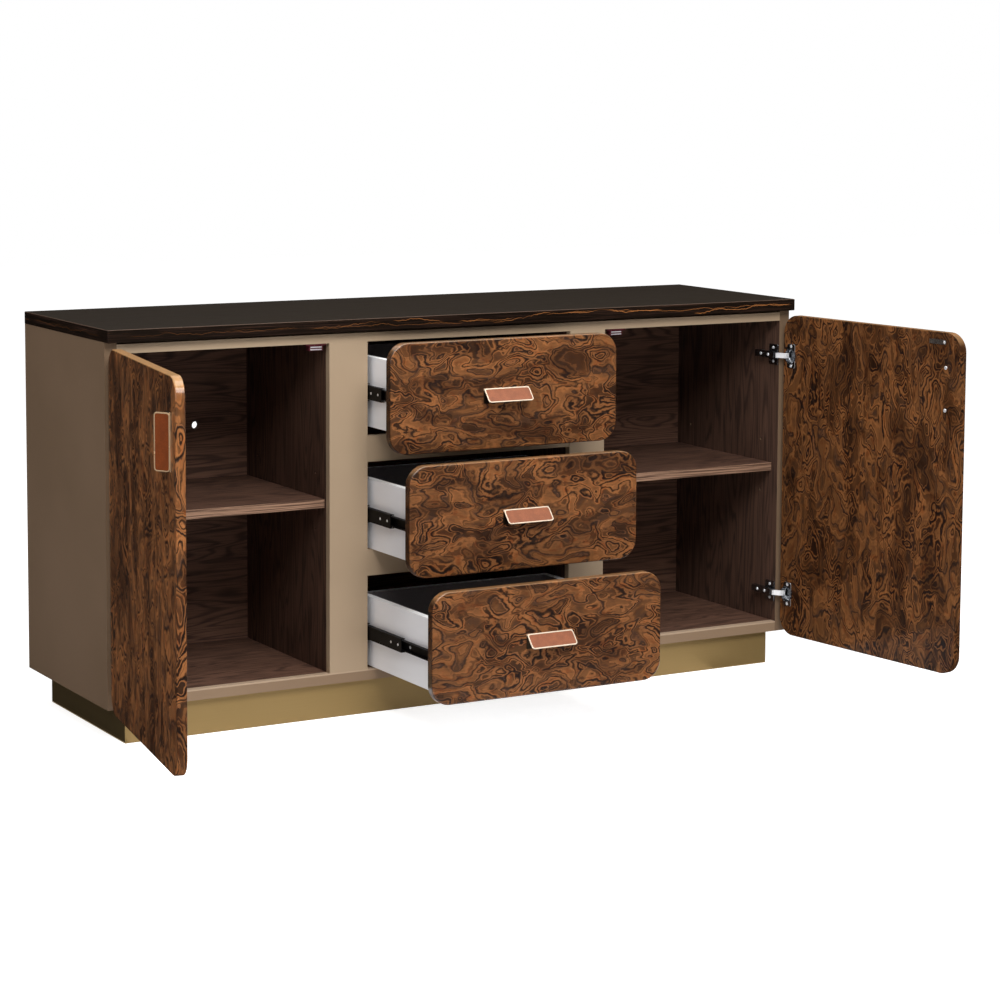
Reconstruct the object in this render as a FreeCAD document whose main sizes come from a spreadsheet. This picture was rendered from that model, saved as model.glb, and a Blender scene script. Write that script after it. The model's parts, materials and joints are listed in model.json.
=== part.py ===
# Sideboard with two doors and three drawers, drawn with the doors open and the drawers part way out
import FreeCAD, Part
import math
import os
import re
import Sketcher

Vector = FreeCAD.Vector
doc = FreeCAD.newDocument("Sideboard")

# Driving sizes in millimetres and degrees
SIZES = {
    "top_width": 1600, "top_depth": 455, "total_height": 810, "top_thickness": 25,
    "top_corner": 2, "top_edge": 1.5, "top_overhang": 1, "front_setback": 20,
    "plinth_height": 72, "plinth_side_inset": 41, "plinth_front_inset": 33,
    "plinth_back_inset": 24, "plinth_board": 18,
    "side_board": 25, "floor_board": 22, "ceiling_board": 20, "wall_board": 18,
    "back_board": 12, "back_recess": 27.5, "groove_depth": 6, "groove_play": 0.3,
    "frame_depth": 16, "stile_width": 85, "bay_half": 238, "top_rail_height": 18, "shadow_gap": 5,
    "divider_height": 53, "divider_recess": 2, "divider_shift": 1,
    "shelf_board": 18, "shelf_shift": 16.5, "shelf_setback": 6, "shelf_play": 0.75,
    "hole_radius": 3, "hole_depth": 10, "hole_pitch": 57, "hole_front": 64.5, "hole_rear": 55,
    "support_reach": 8, "support_half": 3, "support_rise": 12,
    "cable_radius": 8, "cable_across": 358, "cable_drop": 206,
    "front_board": 18, "front_gap": 2, "front_corner": 40, "front_edge": 2.5,
    "door_head": 8.5, "door_drop": 2, "door_side": 1, "door_reveal": 3,
    "drawer_overlay": 24, "drawer_head": 14.5, "drawer_foot": 12, "drawer_reveal": 11,
    "left_door_angle": 99.3, "right_door_angle": 96.1,
    "upper_drawer_out": 124, "middle_drawer_out": 205, "lower_drawer_out": 299,
    "hinge_end": 90, "arm_pin_inset": 9, "arm_pin_forward": 3, "cup_pin_edge": 8.35, "cup_pin_depth": 4.73,
    "link_ratio": -0.324, "link_board": 3, "link_half": 5.5, "link_eye": 2.6, "cup_eye": 2.2,
    "arm_pin_radius": 1.5, "cup_pin_radius": 1.3, "pivot_play": 0.05,
    "cup_edge": 4, "cup_radius": 17.5, "cup_depth": 11.5, "cup_wall": 0.8, "cup_lip": 1, "cup_play": 0.1,
    "ear_span": 53, "ear_width": 24, "ear_shift": 2.5,
    "arm_length": 70, "arm_sheet": 1.5, "arm_play": 0.3, "arm_lift": 4, "arm_rise": 14,
    "plate_length": 33, "plate_height": 45, "plate_wing": 2.5, "plate_start": 1.5,
    "ridge_start": 4, "ridge_length": 60,
    "box_board": 14, "box_height": 142, "box_back": 27.5, "box_groove": 5, "box_floor": 5,
    "box_floor_lift": 10, "upper_box_lift": 38, "middle_box_lift": 22.5, "lower_box_lift": 13.5,
    "slide_depth": 12.7, "slide_back": 38, "slide_start": 7.5, "slide_sheet": 1.2, "slide_rise": 71,
    "outer_half": 17.5, "outer_reach": 9.5, "middle_half": 13.8, "middle_start": 2.2, "middle_reach": 11,
    "inner_half": 10.1, "inner_start": 4.4, "keeper_length": 60, "keeper_width": 5, "keeper_play": 0.1,
    "handle_length": 104, "handle_tilt": 41, "flap_width": 34, "flap_board": 3.2, "handle_base": 30,
    "handle_foot": 2.4, "handle_corner": 6, "handle_rim": 2.6, "leather_recess": 1.2,
    "leather_board": 1, "leather_play": 0.15, "handle_rise": 12, "handle_edge": 33, "door_handle_drop": 116.5,
    "screw_pitch": 88, "screw_inset": 8.5, "screw_head": 4, "screw_head_rise": 1.5,
    "catch_gap": 7, "catch_width": 44, "catch_height": 14, "catch_depth": 15,
    "strike_edge": 65, "strike_width": 48, "strike_height": 10, "strike_board": 1.2, "strike_drop": 15.5,
}

sheet = doc.addObject("Spreadsheet::Sheet", "Sizes")
for row, (word, value) in enumerate(SIZES.items(), start=1):
    sheet.set(f"A{row}", word)
    sheet.set(f"B{row}", str(value))
    sheet.setAlias(f"B{row}", word)
doc.recompute()

# Places that several pieces share, as expressions of the sizes
HALF = "(top_width / 2 - top_overhang)"
INNER = f"({HALF} - side_board)"
FRONT = "(front_setback - top_depth / 2)"
BEHIND = f"({FRONT} + frame_depth)"
REAR = "(top_depth / 2)"
BACK_REAR = f"({REAR} - back_recess)"
BACK_FACE = f"({BACK_REAR} - back_board)"
SEAT = "(total_height - top_thickness)"
FLOOR = "(plinth_height + floor_board)"
CEILING = f"({SEAT} - ceiling_board)"
RAIL = f"({SEAT} - shadow_gap - top_rail_height)"
STILE = "(bay_half + stile_width)"
CLOSED = f"({FRONT} - front_gap)"
DOOR_LOW = "(plinth_height - door_drop)"
DOOR_HIGH = f"({SEAT} - door_head)"
DRAWER_LOW = "(plinth_height + drawer_foot)"
DRAWER_TALL = f"(({SEAT} - drawer_head - {DRAWER_LOW} - 2 * drawer_reveal) / 3)"
DRAWER_HALF = "(bay_half + drawer_overlay)"
DOOR_WIDE = f"({HALF} - door_side - {DRAWER_HALF} - door_reveal)"
BOX_HALF = "(bay_half - slide_depth)"
BOX_LENGTH = f"({BACK_FACE} - {CLOSED} - box_back)"
SLIDE_LENGTH = f"({BACK_FACE} - {FRONT} - slide_start - slide_back)"
SHELF_TOP = f"(({FLOOR} + {CEILING}) / 2 + shelf_shift)"
SHELF_FOOT = f"({SHELF_TOP} - shelf_board)"
DOOR_HANDLE = f"({DOOR_HIGH} - door_handle_drop)"

pieces = []


def formula(text):
    """Turns a rule about sizes into a sheet expression."""
    return re.sub(r"[a-z_]+", lambda m: "Sizes." + m.group() if m.group() in SIZES else m.group(), text)


def bind(item, **rules):
    for name, text in rules.items():
        item.setExpression(name, formula(text))
    return item


def place(item, x="0", y="0", z="0", turn=None):
    item.setExpression("Placement.Base.x", formula(x))
    item.setExpression("Placement.Base.y", formula(y))
    item.setExpression("Placement.Base.z", formula(z))
    if turn:
        item.setExpression("Placement.Rotation.Angle", formula(turn))
    return item


def keep(item, label):
    item.Label = label
    pieces.append(item)
    return item


def block(name, x, y, z):
    """A rectangular board between two places on each axis."""
    item = doc.addObject("Part::Box", name)
    bind(item, Length=f"({x[1]}) - ({x[0]})", Width=f"({y[1]}) - ({y[0]})", Height=f"({z[1]}) - ({z[0]})")
    return place(item, x[0], y[0], z[0])


def sided(side, near, far):
    """The span between two distances from the middle, on the left (-1) or the right (1)."""
    return (near, far) if side > 0 else (f"-({far})", f"-({near})")


def rod(name, radius, length, x, y, z, along=(0, 0, 1)):
    item = doc.addObject("Part::Cylinder", name)
    bind(item, Radius=radius, Height=length)
    item.Placement = FreeCAD.Placement(Vector(0, 0, 0), FreeCAD.Rotation(Vector(0, 0, 1), Vector(*along)))
    return place(item, x, y, z)


def group(name, items):
    item = doc.addObject("Part::Compound", name)
    item.Links = items
    return item


def fuse(name, items):
    item = doc.addObject("Part::MultiFuse", name)
    item.Shapes = items
    return item


def cut(name, base, tools):
    item = doc.addObject("Part::Cut", name)
    item.Base = base
    item.Tool = tools[0] if len(tools) == 1 else group(name + "_tools", tools)
    return item


def plane(body, role):
    return [item for item in body.Origin.OriginFeatures if item.Role == role][0]


def rectangle(body, name, role, start, size, lift="0"):
    """A rectangle on one of the body's origin planes, from its lowest corner."""
    sketch = body.newObject("Sketcher::SketchObject", name)
    sketch.AttachmentSupport = (plane(body, role), [""])
    sketch.MapMode = "FlatFace"
    sketch.setExpression("AttachmentOffset.Base.z", formula(lift))
    corners = [Vector(0, 0, 0), Vector(50, 0, 0), Vector(50, 50, 0), Vector(0, 50, 0)]
    for index in range(4):
        sketch.addGeometry(Part.LineSegment(corners[index], corners[(index + 1) % 4]), False)
    for index in range(4):
        sketch.addConstraint(Sketcher.Constraint("Coincident", index, 2, (index + 1) % 4, 1))
    for index in range(4):
        sketch.addConstraint(Sketcher.Constraint("Vertical" if index % 2 else "Horizontal", index))
    spans = [("DistanceX", (-1, 1, 0, 1), start[0]), ("DistanceY", (-1, 1, 0, 1), start[1]),
             ("DistanceX", (0, 1, 0, 2), size[0]), ("DistanceY", (1, 1, 1, 2), size[1])]
    for kind, ends, rule in spans:
        number = sketch.addConstraint(Sketcher.Constraint(kind, *ends, 25.0))
        sketch.setExpression(f"Constraints[{number}]", formula(rule))
    return sketch


def eased(body, feature, name, chosen, kind, size):
    """Rounds (Fillet) or bevels (Chamfer) the edges of a feature that the test picks."""
    doc.recompute()
    edges = [f"Edge{number}" for number, edge in enumerate(feature.Shape.Edges, start=1) if chosen(edge)]
    item = body.newObject("PartDesign::" + kind, name)
    item.Base = (feature, edges)
    item.setExpression("Radius" if kind == "Fillet" else "Size", formula(size))
    body.Tip = item
    return item


def runs_along(axis):
    def test(edge):
        ends = [vertex.Point for vertex in edge.Vertexes]
        return len(ends) == 2 and abs((ends[1] - ends[0]).normalize().dot(Vector(*axis))) > 0.999
    return test


def lies_at(axis, level):
    def test(edge):
        box = edge.BoundBox
        low = {"y": box.YMin, "z": box.ZMin}[axis]
        high = {"y": box.YMax, "z": box.ZMax}[axis]
        return abs(low - level) < 1e-4 and abs(high - level) < 1e-4
    return test


def panel(name, start, size, lift):
    """A front panel with rounded corners and eased edges; the lift puts its inner face on the local plane."""
    body = doc.addObject("PartDesign::Body", name)
    outline = rectangle(body, name + "_outline", "XZ_Plane", start, size, lift)
    pad = body.newObject("PartDesign::Pad", name + "_pad")
    pad.Profile = outline
    bind(pad, Length="front_board")
    body.Tip = pad
    corners = eased(body, pad, name + "_corners", runs_along((0, 1, 0)), "Fillet", "front_corner")
    doc.recompute()
    eased(body, corners, name + "_edge", lies_at("y", corners.Shape.BoundBox.YMin), "Chamfer", "front_edge")
    return body


def size_of(word):
    return float(sheet.get(word))


# Top slab
slab = doc.addObject("PartDesign::Body", "top_slab")
slab_outline = rectangle(slab, "slab_outline", "XY_Plane", ("-top_width / 2", "-top_depth / 2"),
                         ("top_width", "top_depth"), SEAT)
slab_pad = slab.newObject("PartDesign::Pad", "slab_pad")
slab_pad.Profile = slab_outline
bind(slab_pad, Length="top_thickness")
slab.Tip = slab_pad
slab_corners = eased(slab, slab_pad, "slab_corners", runs_along((0, 0, 1)), "Chamfer", "top_corner")
doc.recompute()
slab_box = slab_corners.Shape.BoundBox
slab_upper = eased(slab, slab_corners, "slab_upper_edge", lies_at("z", slab_box.ZMax), "Chamfer", "top_edge")
eased(slab, slab_upper, "slab_lower_edge", lies_at("z", slab_box.ZMin), "Chamfer", "top_edge")
keep(slab, "top_slab")

# Sides with a groove for the back and spare holes for the shelf supports
SHELF_MIDDLE = f"({SHELF_TOP} - shelf_board / 2)"
HOLE_ROWS = [f"({SHELF_MIDDLE} - hole_pitch)", f"({SHELF_MIDDLE} + hole_pitch)"]
HOLE_LINES = [f"({FRONT} + hole_front)", f"({BACK_FACE} - hole_rear)"]


def spare_holes(name, side, face, outward):
    """Holes bored into a board from its face; outward is 1 where they run away from the middle."""
    holes = []
    for row, height in enumerate(HOLE_ROWS):
        for line, depth in enumerate(HOLE_LINES):
            holes.append(rod(f"{name}_hole_{row}_{line}", "hole_radius", "hole_depth",
                             f"{side} * {face}", depth, height, (side * outward, 0, 0)))
    return holes


for side, word in ((-1, "left"), (1, "right")):
    name = f"{word}_side_panel"
    stock = block(name + "_board", sided(side, INNER, HALF), (FRONT, REAR), ("plinth_height", SEAT))
    groove = block(name + "_groove", sided(side, f"{INNER} - 1", f"{INNER} + groove_depth"),
                   (f"{BACK_FACE} - groove_play", f"{BACK_REAR} + groove_play"),
                   ("plinth_height - 1", f"{SEAT} + 1"))
    keep(cut(name, stock, [groove] + spare_holes(name, side, INNER, 1)), name)

# Floor, ceiling and back of the case
ACROSS = (f"-{INNER}", INNER)
floor_stock = block("floor_board_stock", ACROSS, (BEHIND, REAR), ("plinth_height", FLOOR))
floor_groove = block("floor_groove", (f"-{INNER} - 1", f"{INNER} + 1"),
                     (f"{BACK_FACE} - groove_play", f"{BACK_REAR} + groove_play"),
                     (f"{FLOOR} - groove_depth", f"{FLOOR} + 1"))
keep(cut("case_floor", floor_stock, [floor_groove]), "case_floor")
ceiling_stock = block("ceiling_board_stock", ACROSS, (BEHIND, REAR), (CEILING, SEAT))
ceiling_groove = block("ceiling_groove", (f"-{INNER} - 1", f"{INNER} + 1"),
                       (f"{BACK_FACE} - groove_play", f"{BACK_REAR} + groove_play"),
                       (f"{CEILING} - 1", f"{CEILING} + groove_depth"))
keep(cut("case_ceiling", ceiling_stock, [ceiling_groove]), "case_ceiling")
TUCK = "(groove_depth - groove_play)"
back_stock = block("back_stock", (f"-{INNER} - {TUCK}", f"{INNER} + {TUCK}"), (BACK_FACE, BACK_REAR),
                   (f"{FLOOR} - {TUCK}", f"{CEILING} + {TUCK}"))
cable_hole = rod("cable_hole", "cable_radius", "back_board + 2", f"cable_across - {HALF}", f"{BACK_FACE} - 1",
                 f"{CEILING} - cable_drop", (0, 1, 0))
keep(cut("back_panel", back_stock, [cable_hole]), "back_panel")

# Front frame
keep(block("bottom_rail", ACROSS, (FRONT, BEHIND), ("plinth_height", FLOOR)), "bottom_rail")
keep(block("top_rail", ACROSS, (FRONT, BEHIND), (RAIL, f"{SEAT} - shadow_gap")), "top_rail")
stiles = [block(f"stile_{word}", sided(side, "bay_half", STILE), (FRONT, BEHIND), (FLOOR, RAIL))
          for side, word in ((-1, "left"), (1, "right"))]
keep(group("front_stiles", stiles), "front_stiles")
DRAWER_FOOT = {
    "lower": DRAWER_LOW,
    "middle": f"({DRAWER_LOW} + {DRAWER_TALL} + drawer_reveal)",
    "upper": f"({DRAWER_LOW} + 2 * {DRAWER_TALL} + 2 * drawer_reveal)",
}
dividers = []
for word in ("middle", "upper"):
    middle = f"({DRAWER_FOOT[word]} - drawer_reveal / 2 + divider_shift)"
    dividers.append(block(f"divider_{word}", ("-bay_half", "bay_half"), (f"{FRONT} + divider_recess", BEHIND),
                          (f"{middle} - divider_height / 2", f"{middle} + divider_height / 2")))
keep(group("drawer_divider_rails", dividers), "drawer_divider_rails")

# Walls on each side of the drawers: one faces the cupboard, the other carries the drawer runners
cupboard_walls = []
drawer_walls = []
for side, word in ((-1, "left"), (1, "right")):
    name = f"{word}_cupboard_wall"
    stock = block(name + "_stock", sided(side, f"{STILE} - wall_board", STILE), (BEHIND, BACK_FACE),
                  (FLOOR, CEILING))
    cupboard_walls.append(cut(name, stock, spare_holes(name, side, STILE, -1)))
    drawer_walls.append(block(f"{word}_drawer_wall", sided(side, "bay_half", "bay_half + wall_board"),
                              (BEHIND, BACK_FACE), (FLOOR, CEILING)))
keep(group("cupboard_walls", cupboard_walls), "cupboard_walls")
keep(group("drawer_bay_walls", drawer_walls), "drawer_bay_walls")

# Shelves, notched underneath to drop over their supports
supports = []
for side, word in ((-1, "left"), (1, "right")):
    name = f"{word}_shelf"
    stock = block(name + "_board", sided(side, f"{STILE} + shelf_play", f"{INNER} - shelf_play"),
                  (f"{BEHIND} + shelf_setback", f"{BACK_FACE} - shelf_play"), (SHELF_FOOT, SHELF_TOP))
    notches = []
    for line, depth in enumerate(HOLE_LINES):
        for place_word, wall, inward in (("near", STILE, 1), ("far", INNER, -1)):
            reach = [wall, f"{wall} + {inward} * support_reach", f"{wall} + {inward} * (support_reach + 1)"]
            seat = sided(side, *(reach[:2] if inward > 0 else reach[1::-1]))
            room = sided(side, *(reach[::2] if inward > 0 else reach[::-2]))
            supports.append(block(f"{name}_{place_word}_support_{line}", seat,
                                  (f"{depth} - support_half", f"{depth} + support_half"),
                                  (SHELF_FOOT, f"{SHELF_FOOT} + support_rise")))
            half = "(support_half + groove_play)"
            notches.append(block(f"{name}_{place_word}_notch_{line}", room,
                                 (f"{depth} - {half}", f"{depth} + {half}"),
                                 (f"{SHELF_FOOT} - 1", f"{SHELF_FOOT} + support_rise")))
    keep(cut(name, stock, notches), name)
keep(group("shelf_supports", supports), "shelf_supports")

# Plinth ring with a rail across the middle
PLINTH_HALF = "(top_width / 2 - plinth_side_inset)"
PLINTH_FRONT = "(plinth_front_inset - top_depth / 2)"
PLINTH_REAR = "(top_depth / 2 - plinth_back_inset)"
GROUND = ("0", "plinth_height")
PLINTH_WIDE = (f"-{PLINTH_HALF}", PLINTH_HALF)
BETWEEN = (f"{PLINTH_FRONT} + plinth_board", f"{PLINTH_REAR} - plinth_board")
long_rails = [
    block("plinth_front", PLINTH_WIDE, (PLINTH_FRONT, BETWEEN[0]), GROUND),
    block("plinth_rear", PLINTH_WIDE, (BETWEEN[1], PLINTH_REAR), GROUND),
]
keep(group("plinth_long_rails", long_rails), "plinth_long_rails")
cross_rails = []
for side, word in ((-1, "left"), (1, "right")):
    across = sided(side, f"{PLINTH_HALF} - plinth_board", PLINTH_HALF)
    cross_rails.append(block(f"plinth_end_{word}", across, BETWEEN, GROUND))
cross_rails.append(block("plinth_middle", ("-plinth_board / 2", "plinth_board / 2"), BETWEEN, GROUND))
keep(group("plinth_cross_rails", cross_rails), "plinth_cross_rails")

# Magnet catches under the top rail
catches = [block(f"catch_{word}", sided(side, f"{STILE} + catch_gap", f"{STILE} + catch_gap + catch_width"),
                 (f"{BEHIND} - catch_depth", BEHIND), (f"{RAIL} - catch_height", RAIL))
           for side, word in ((-1, "left"), (1, "right"))]
keep(group("magnet_catches", catches), "magnet_catches")

# Concealed hinges: inward is measured from the case's outer side and forward from its front
ARM_IN = "(side_board + arm_pin_inset)"
ARM_FORE = "arm_pin_forward"
CUP_IN = "(door_side + cup_pin_edge)"
CUP_FORE = "(front_gap + cup_pin_depth)"
HINGE_HEIGHTS = {"low": f"({DOOR_LOW} + hinge_end)", "high": f"({DOOR_HIGH} - hinge_end)"}
ARM_HALF = "(link_half + arm_play + arm_sheet)"


def case_span(side, near, far):
    """Inward distances from the case's outer side, as a span of x."""
    return sided(side, f"{HALF} - ({far})", f"{HALF} - ({near})")


def fore_span(near, far):
    return (f"{FRONT} - ({far})", f"{FRONT} - ({near})")


arms = []
plates = []
for side, word in ((-1, "left"), (1, "right")):
    for level, height in HINGE_HEIGHTS.items():
        name = f"{word}_{level}_hinge"
        rise = (f"{height} - {ARM_HALF}", f"{height} + {ARM_HALF}")
        slot_rise = (f"{height} - link_half - arm_play", f"{height} + link_half + arm_play")
        pin_place = (f"{side} * ({HALF} - {ARM_IN})", f"{FRONT} - {ARM_FORE}",
                     f"{height} - {ARM_HALF} + arm_sheet / 2")
        channel = block(name + "_channel", case_span(side, "side_board + arm_lift", "side_board + arm_rise"),
                        fore_span("-arm_length - 1", "-1"), rise)
        nose = block(name + "_nose", case_span(side, f"{ARM_IN} - link_eye", f"{ARM_IN} + link_eye"),
                     fore_span("-3", f"{ARM_FORE} + link_eye"), rise)
        slot_span = case_span(side, "side_board + arm_lift - 1", "side_board + arm_rise - arm_sheet")
        slot = block(name + "_slot", slot_span, fore_span("-arm_length - 2", "10"), slot_rise)
        cheeks = cut(name + "_cheeks", fuse(name + "_stock", [channel, nose]), [slot])
        pin = rod(name + "_pin", "arm_pin_radius", "2 * link_half + 2 * arm_play + arm_sheet", *pin_place)
        arms.append(fuse(name + "_arm", [cheeks, pin]))
        wings = block(name + "_wings", case_span(side, "side_board", "side_board + plate_wing"),
                      fore_span("-plate_start - plate_length", "-plate_start"),
                      (f"{height} - plate_height / 2", f"{height} + plate_height / 2"))
        ridge = block(name + "_ridge", case_span(side, "side_board", "side_board + arm_rise - arm_sheet"),
                      fore_span("-ridge_start - ridge_length", "-ridge_start"),
                      (f"{height} - link_half", f"{height} + link_half"))
        plates.append(fuse(name + "_plate", [wings, ridge]))
keep(group("hinge_arms", arms), "hinge_arms")
keep(group("hinge_plates", plates), "hinge_plates")

# The links between the arms and the door cups, bent to pass round the door's edge
LINK_BENDS = [(0.0, 0.0), (3.0, 4.6), (8.0, 5.0)]


def link_centre_line():
    """Points from the cup pin to the arm pin, measured from the arm pin inward and forward."""
    across = size_of("door_side") + size_of("cup_pin_edge") - size_of("side_board") - size_of("arm_pin_inset")
    fore = size_of("front_gap") + size_of("cup_pin_depth") - size_of("arm_pin_forward")
    span = math.hypot(across, fore)
    along = (-across / span, -fore / span)
    bulge = (-along[1], along[0])
    points = []
    for reach, rise in LINK_BENDS + [(span, 0.0)]:
        points.append((across + reach * along[0] + rise * bulge[0],
                       fore + reach * along[1] + rise * bulge[1]))
    return points


def strip_outline(name, points):
    """The outline of a bent strip of even thickness about a centre line, with mitred bends."""
    half = size_of("link_board") / 2
    steps = [(Vector(*end, 0) - Vector(*start, 0)).normalize() for start, end in zip(points, points[1:])]
    edges = {1: [], -1: []}
    for index, point in enumerate(points):
        before = steps[max(index - 1, 0)]
        after = steps[min(index, len(steps) - 1)]
        across = Vector(-before.y - after.y, before.x + after.x, 0).normalize()
        reach = half / across.dot(Vector(-after.y, after.x, 0))
        for hand in edges:
            edges[hand].append(Vector(*point, 0) + across * (hand * reach))
    ring = edges[1] + edges[-1][::-1]
    sketch = doc.addObject("Sketcher::SketchObject", name)
    for start, end in zip(ring, ring[1:] + ring[:1]):
        sketch.addGeometry(Part.LineSegment(start, end), False)
    for number in range(len(ring)):
        sketch.addConstraint(Sketcher.Constraint("Coincident", number, 2, (number + 1) % len(ring), 1))
    return sketch


def door_place(item, side, word):
    """Moves a piece from the closed door's frame, centred on the cup pins, to the open door."""
    turn = f"link_ratio * {word}_door_angle"
    inward = (f"({ARM_IN} + ({CUP_IN} - {ARM_IN}) * cos({turn} * 1 deg)"
              f" - ({CUP_FORE} - {ARM_FORE}) * sin({turn} * 1 deg))")
    forward = (f"({ARM_FORE} + ({CUP_IN} - {ARM_IN}) * sin({turn} * 1 deg)"
               f" + ({CUP_FORE} - {ARM_FORE}) * cos({turn} * 1 deg))")
    return place(item, f"{side} * ({HALF} - {inward})", f"{FRONT} - {forward}", "0",
                 f"{side} * {word}_door_angle")


def door_span(side, near, far):
    """Distances from the door's hinge edge, as a span of x in the door's frame."""
    return sided(side, f"cup_pin_edge - ({far})", f"cup_pin_edge - ({near})")


def door_x(side, distance):
    return f"{side} * (cup_pin_edge - ({distance}))"


INNER_FACE = "cup_pin_depth"
OUTER_FACE = "(cup_pin_depth - front_board)"
CUP_MIDDLE = "(cup_edge + cup_radius)"


def handle(name, edge, along, outward):
    """A folded pull: a foot on the front and a tilted flap that holds the leather. Returns both pieces."""
    tilt = math.radians(size_of("handle_tilt"))
    along = Vector(*along)
    outward = Vector(*outward)
    flap_run = along * math.cos(tilt) + outward * math.sin(tilt)
    flap_up = outward * math.cos(tilt) - along * math.sin(tilt)
    length = size_of("handle_length")
    flap_start = size_of("flap_board") / math.tan(tilt)

    def plate(part, run, up, start, sink, trim, width, board, corner=0, kind="Chamfer"):
        """A plate that starts at the folded edge and runs down the flap or the foot."""
        lengthwise = run.cross(up)
        item = doc.addObject("Part::Box", f"{name}_{part}")
        item.Length = length - 2 * trim
        item.Width = width
        item.Height = board
        item.Placement = FreeCAD.Placement(-lengthwise * (length / 2 - trim) + run * start - up * sink,
                                           FreeCAD.Rotation(lengthwise, run, up, "ZXY"))
        if not corner:
            return item
        shaped = doc.addObject("Part::" + kind, f"{name}_{part}_shaped")
        shaped.Base = item
        shaped.Edges = [(number, corner, corner) for number in (1, 3, 5, 7)]
        return shaped

    corner = size_of("handle_corner")
    rim = size_of("handle_rim")
    inner_corner = (corner - rim) * 2 / 3
    recess = size_of("leather_recess")
    play = size_of("leather_play")
    inset_width = size_of("flap_width") - 2 * rim
    flap = plate("flap", flap_run, flap_up, flap_start, size_of("flap_board"), 0, size_of("flap_width"),
                 size_of("flap_board"), corner, "Fillet")
    foot = plate("foot", along, outward, 0, 0, 0, size_of("handle_base"), size_of("handle_foot"))
    hollow = plate("hollow", flap_run, flap_up, flap_start + rim, recess, rim,
                   inset_width, recess + 1, inner_corner)
    leather = plate("leather", flap_run, flap_up, flap_start + rim + play, recess, rim + play,
                    inset_width - 2 * play, size_of("leather_board"), inner_corner)
    frame = cut(f"{name}_frame", fuse(f"{name}_folded", [flap, foot]), [hollow])
    pair = []
    for part, item in (("pull", frame), ("inset", leather)):
        holder = group(f"{name}_{part}_at_edge", [item])
        place(holder, *edge)
        pair.append(holder)
    return pair


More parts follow.
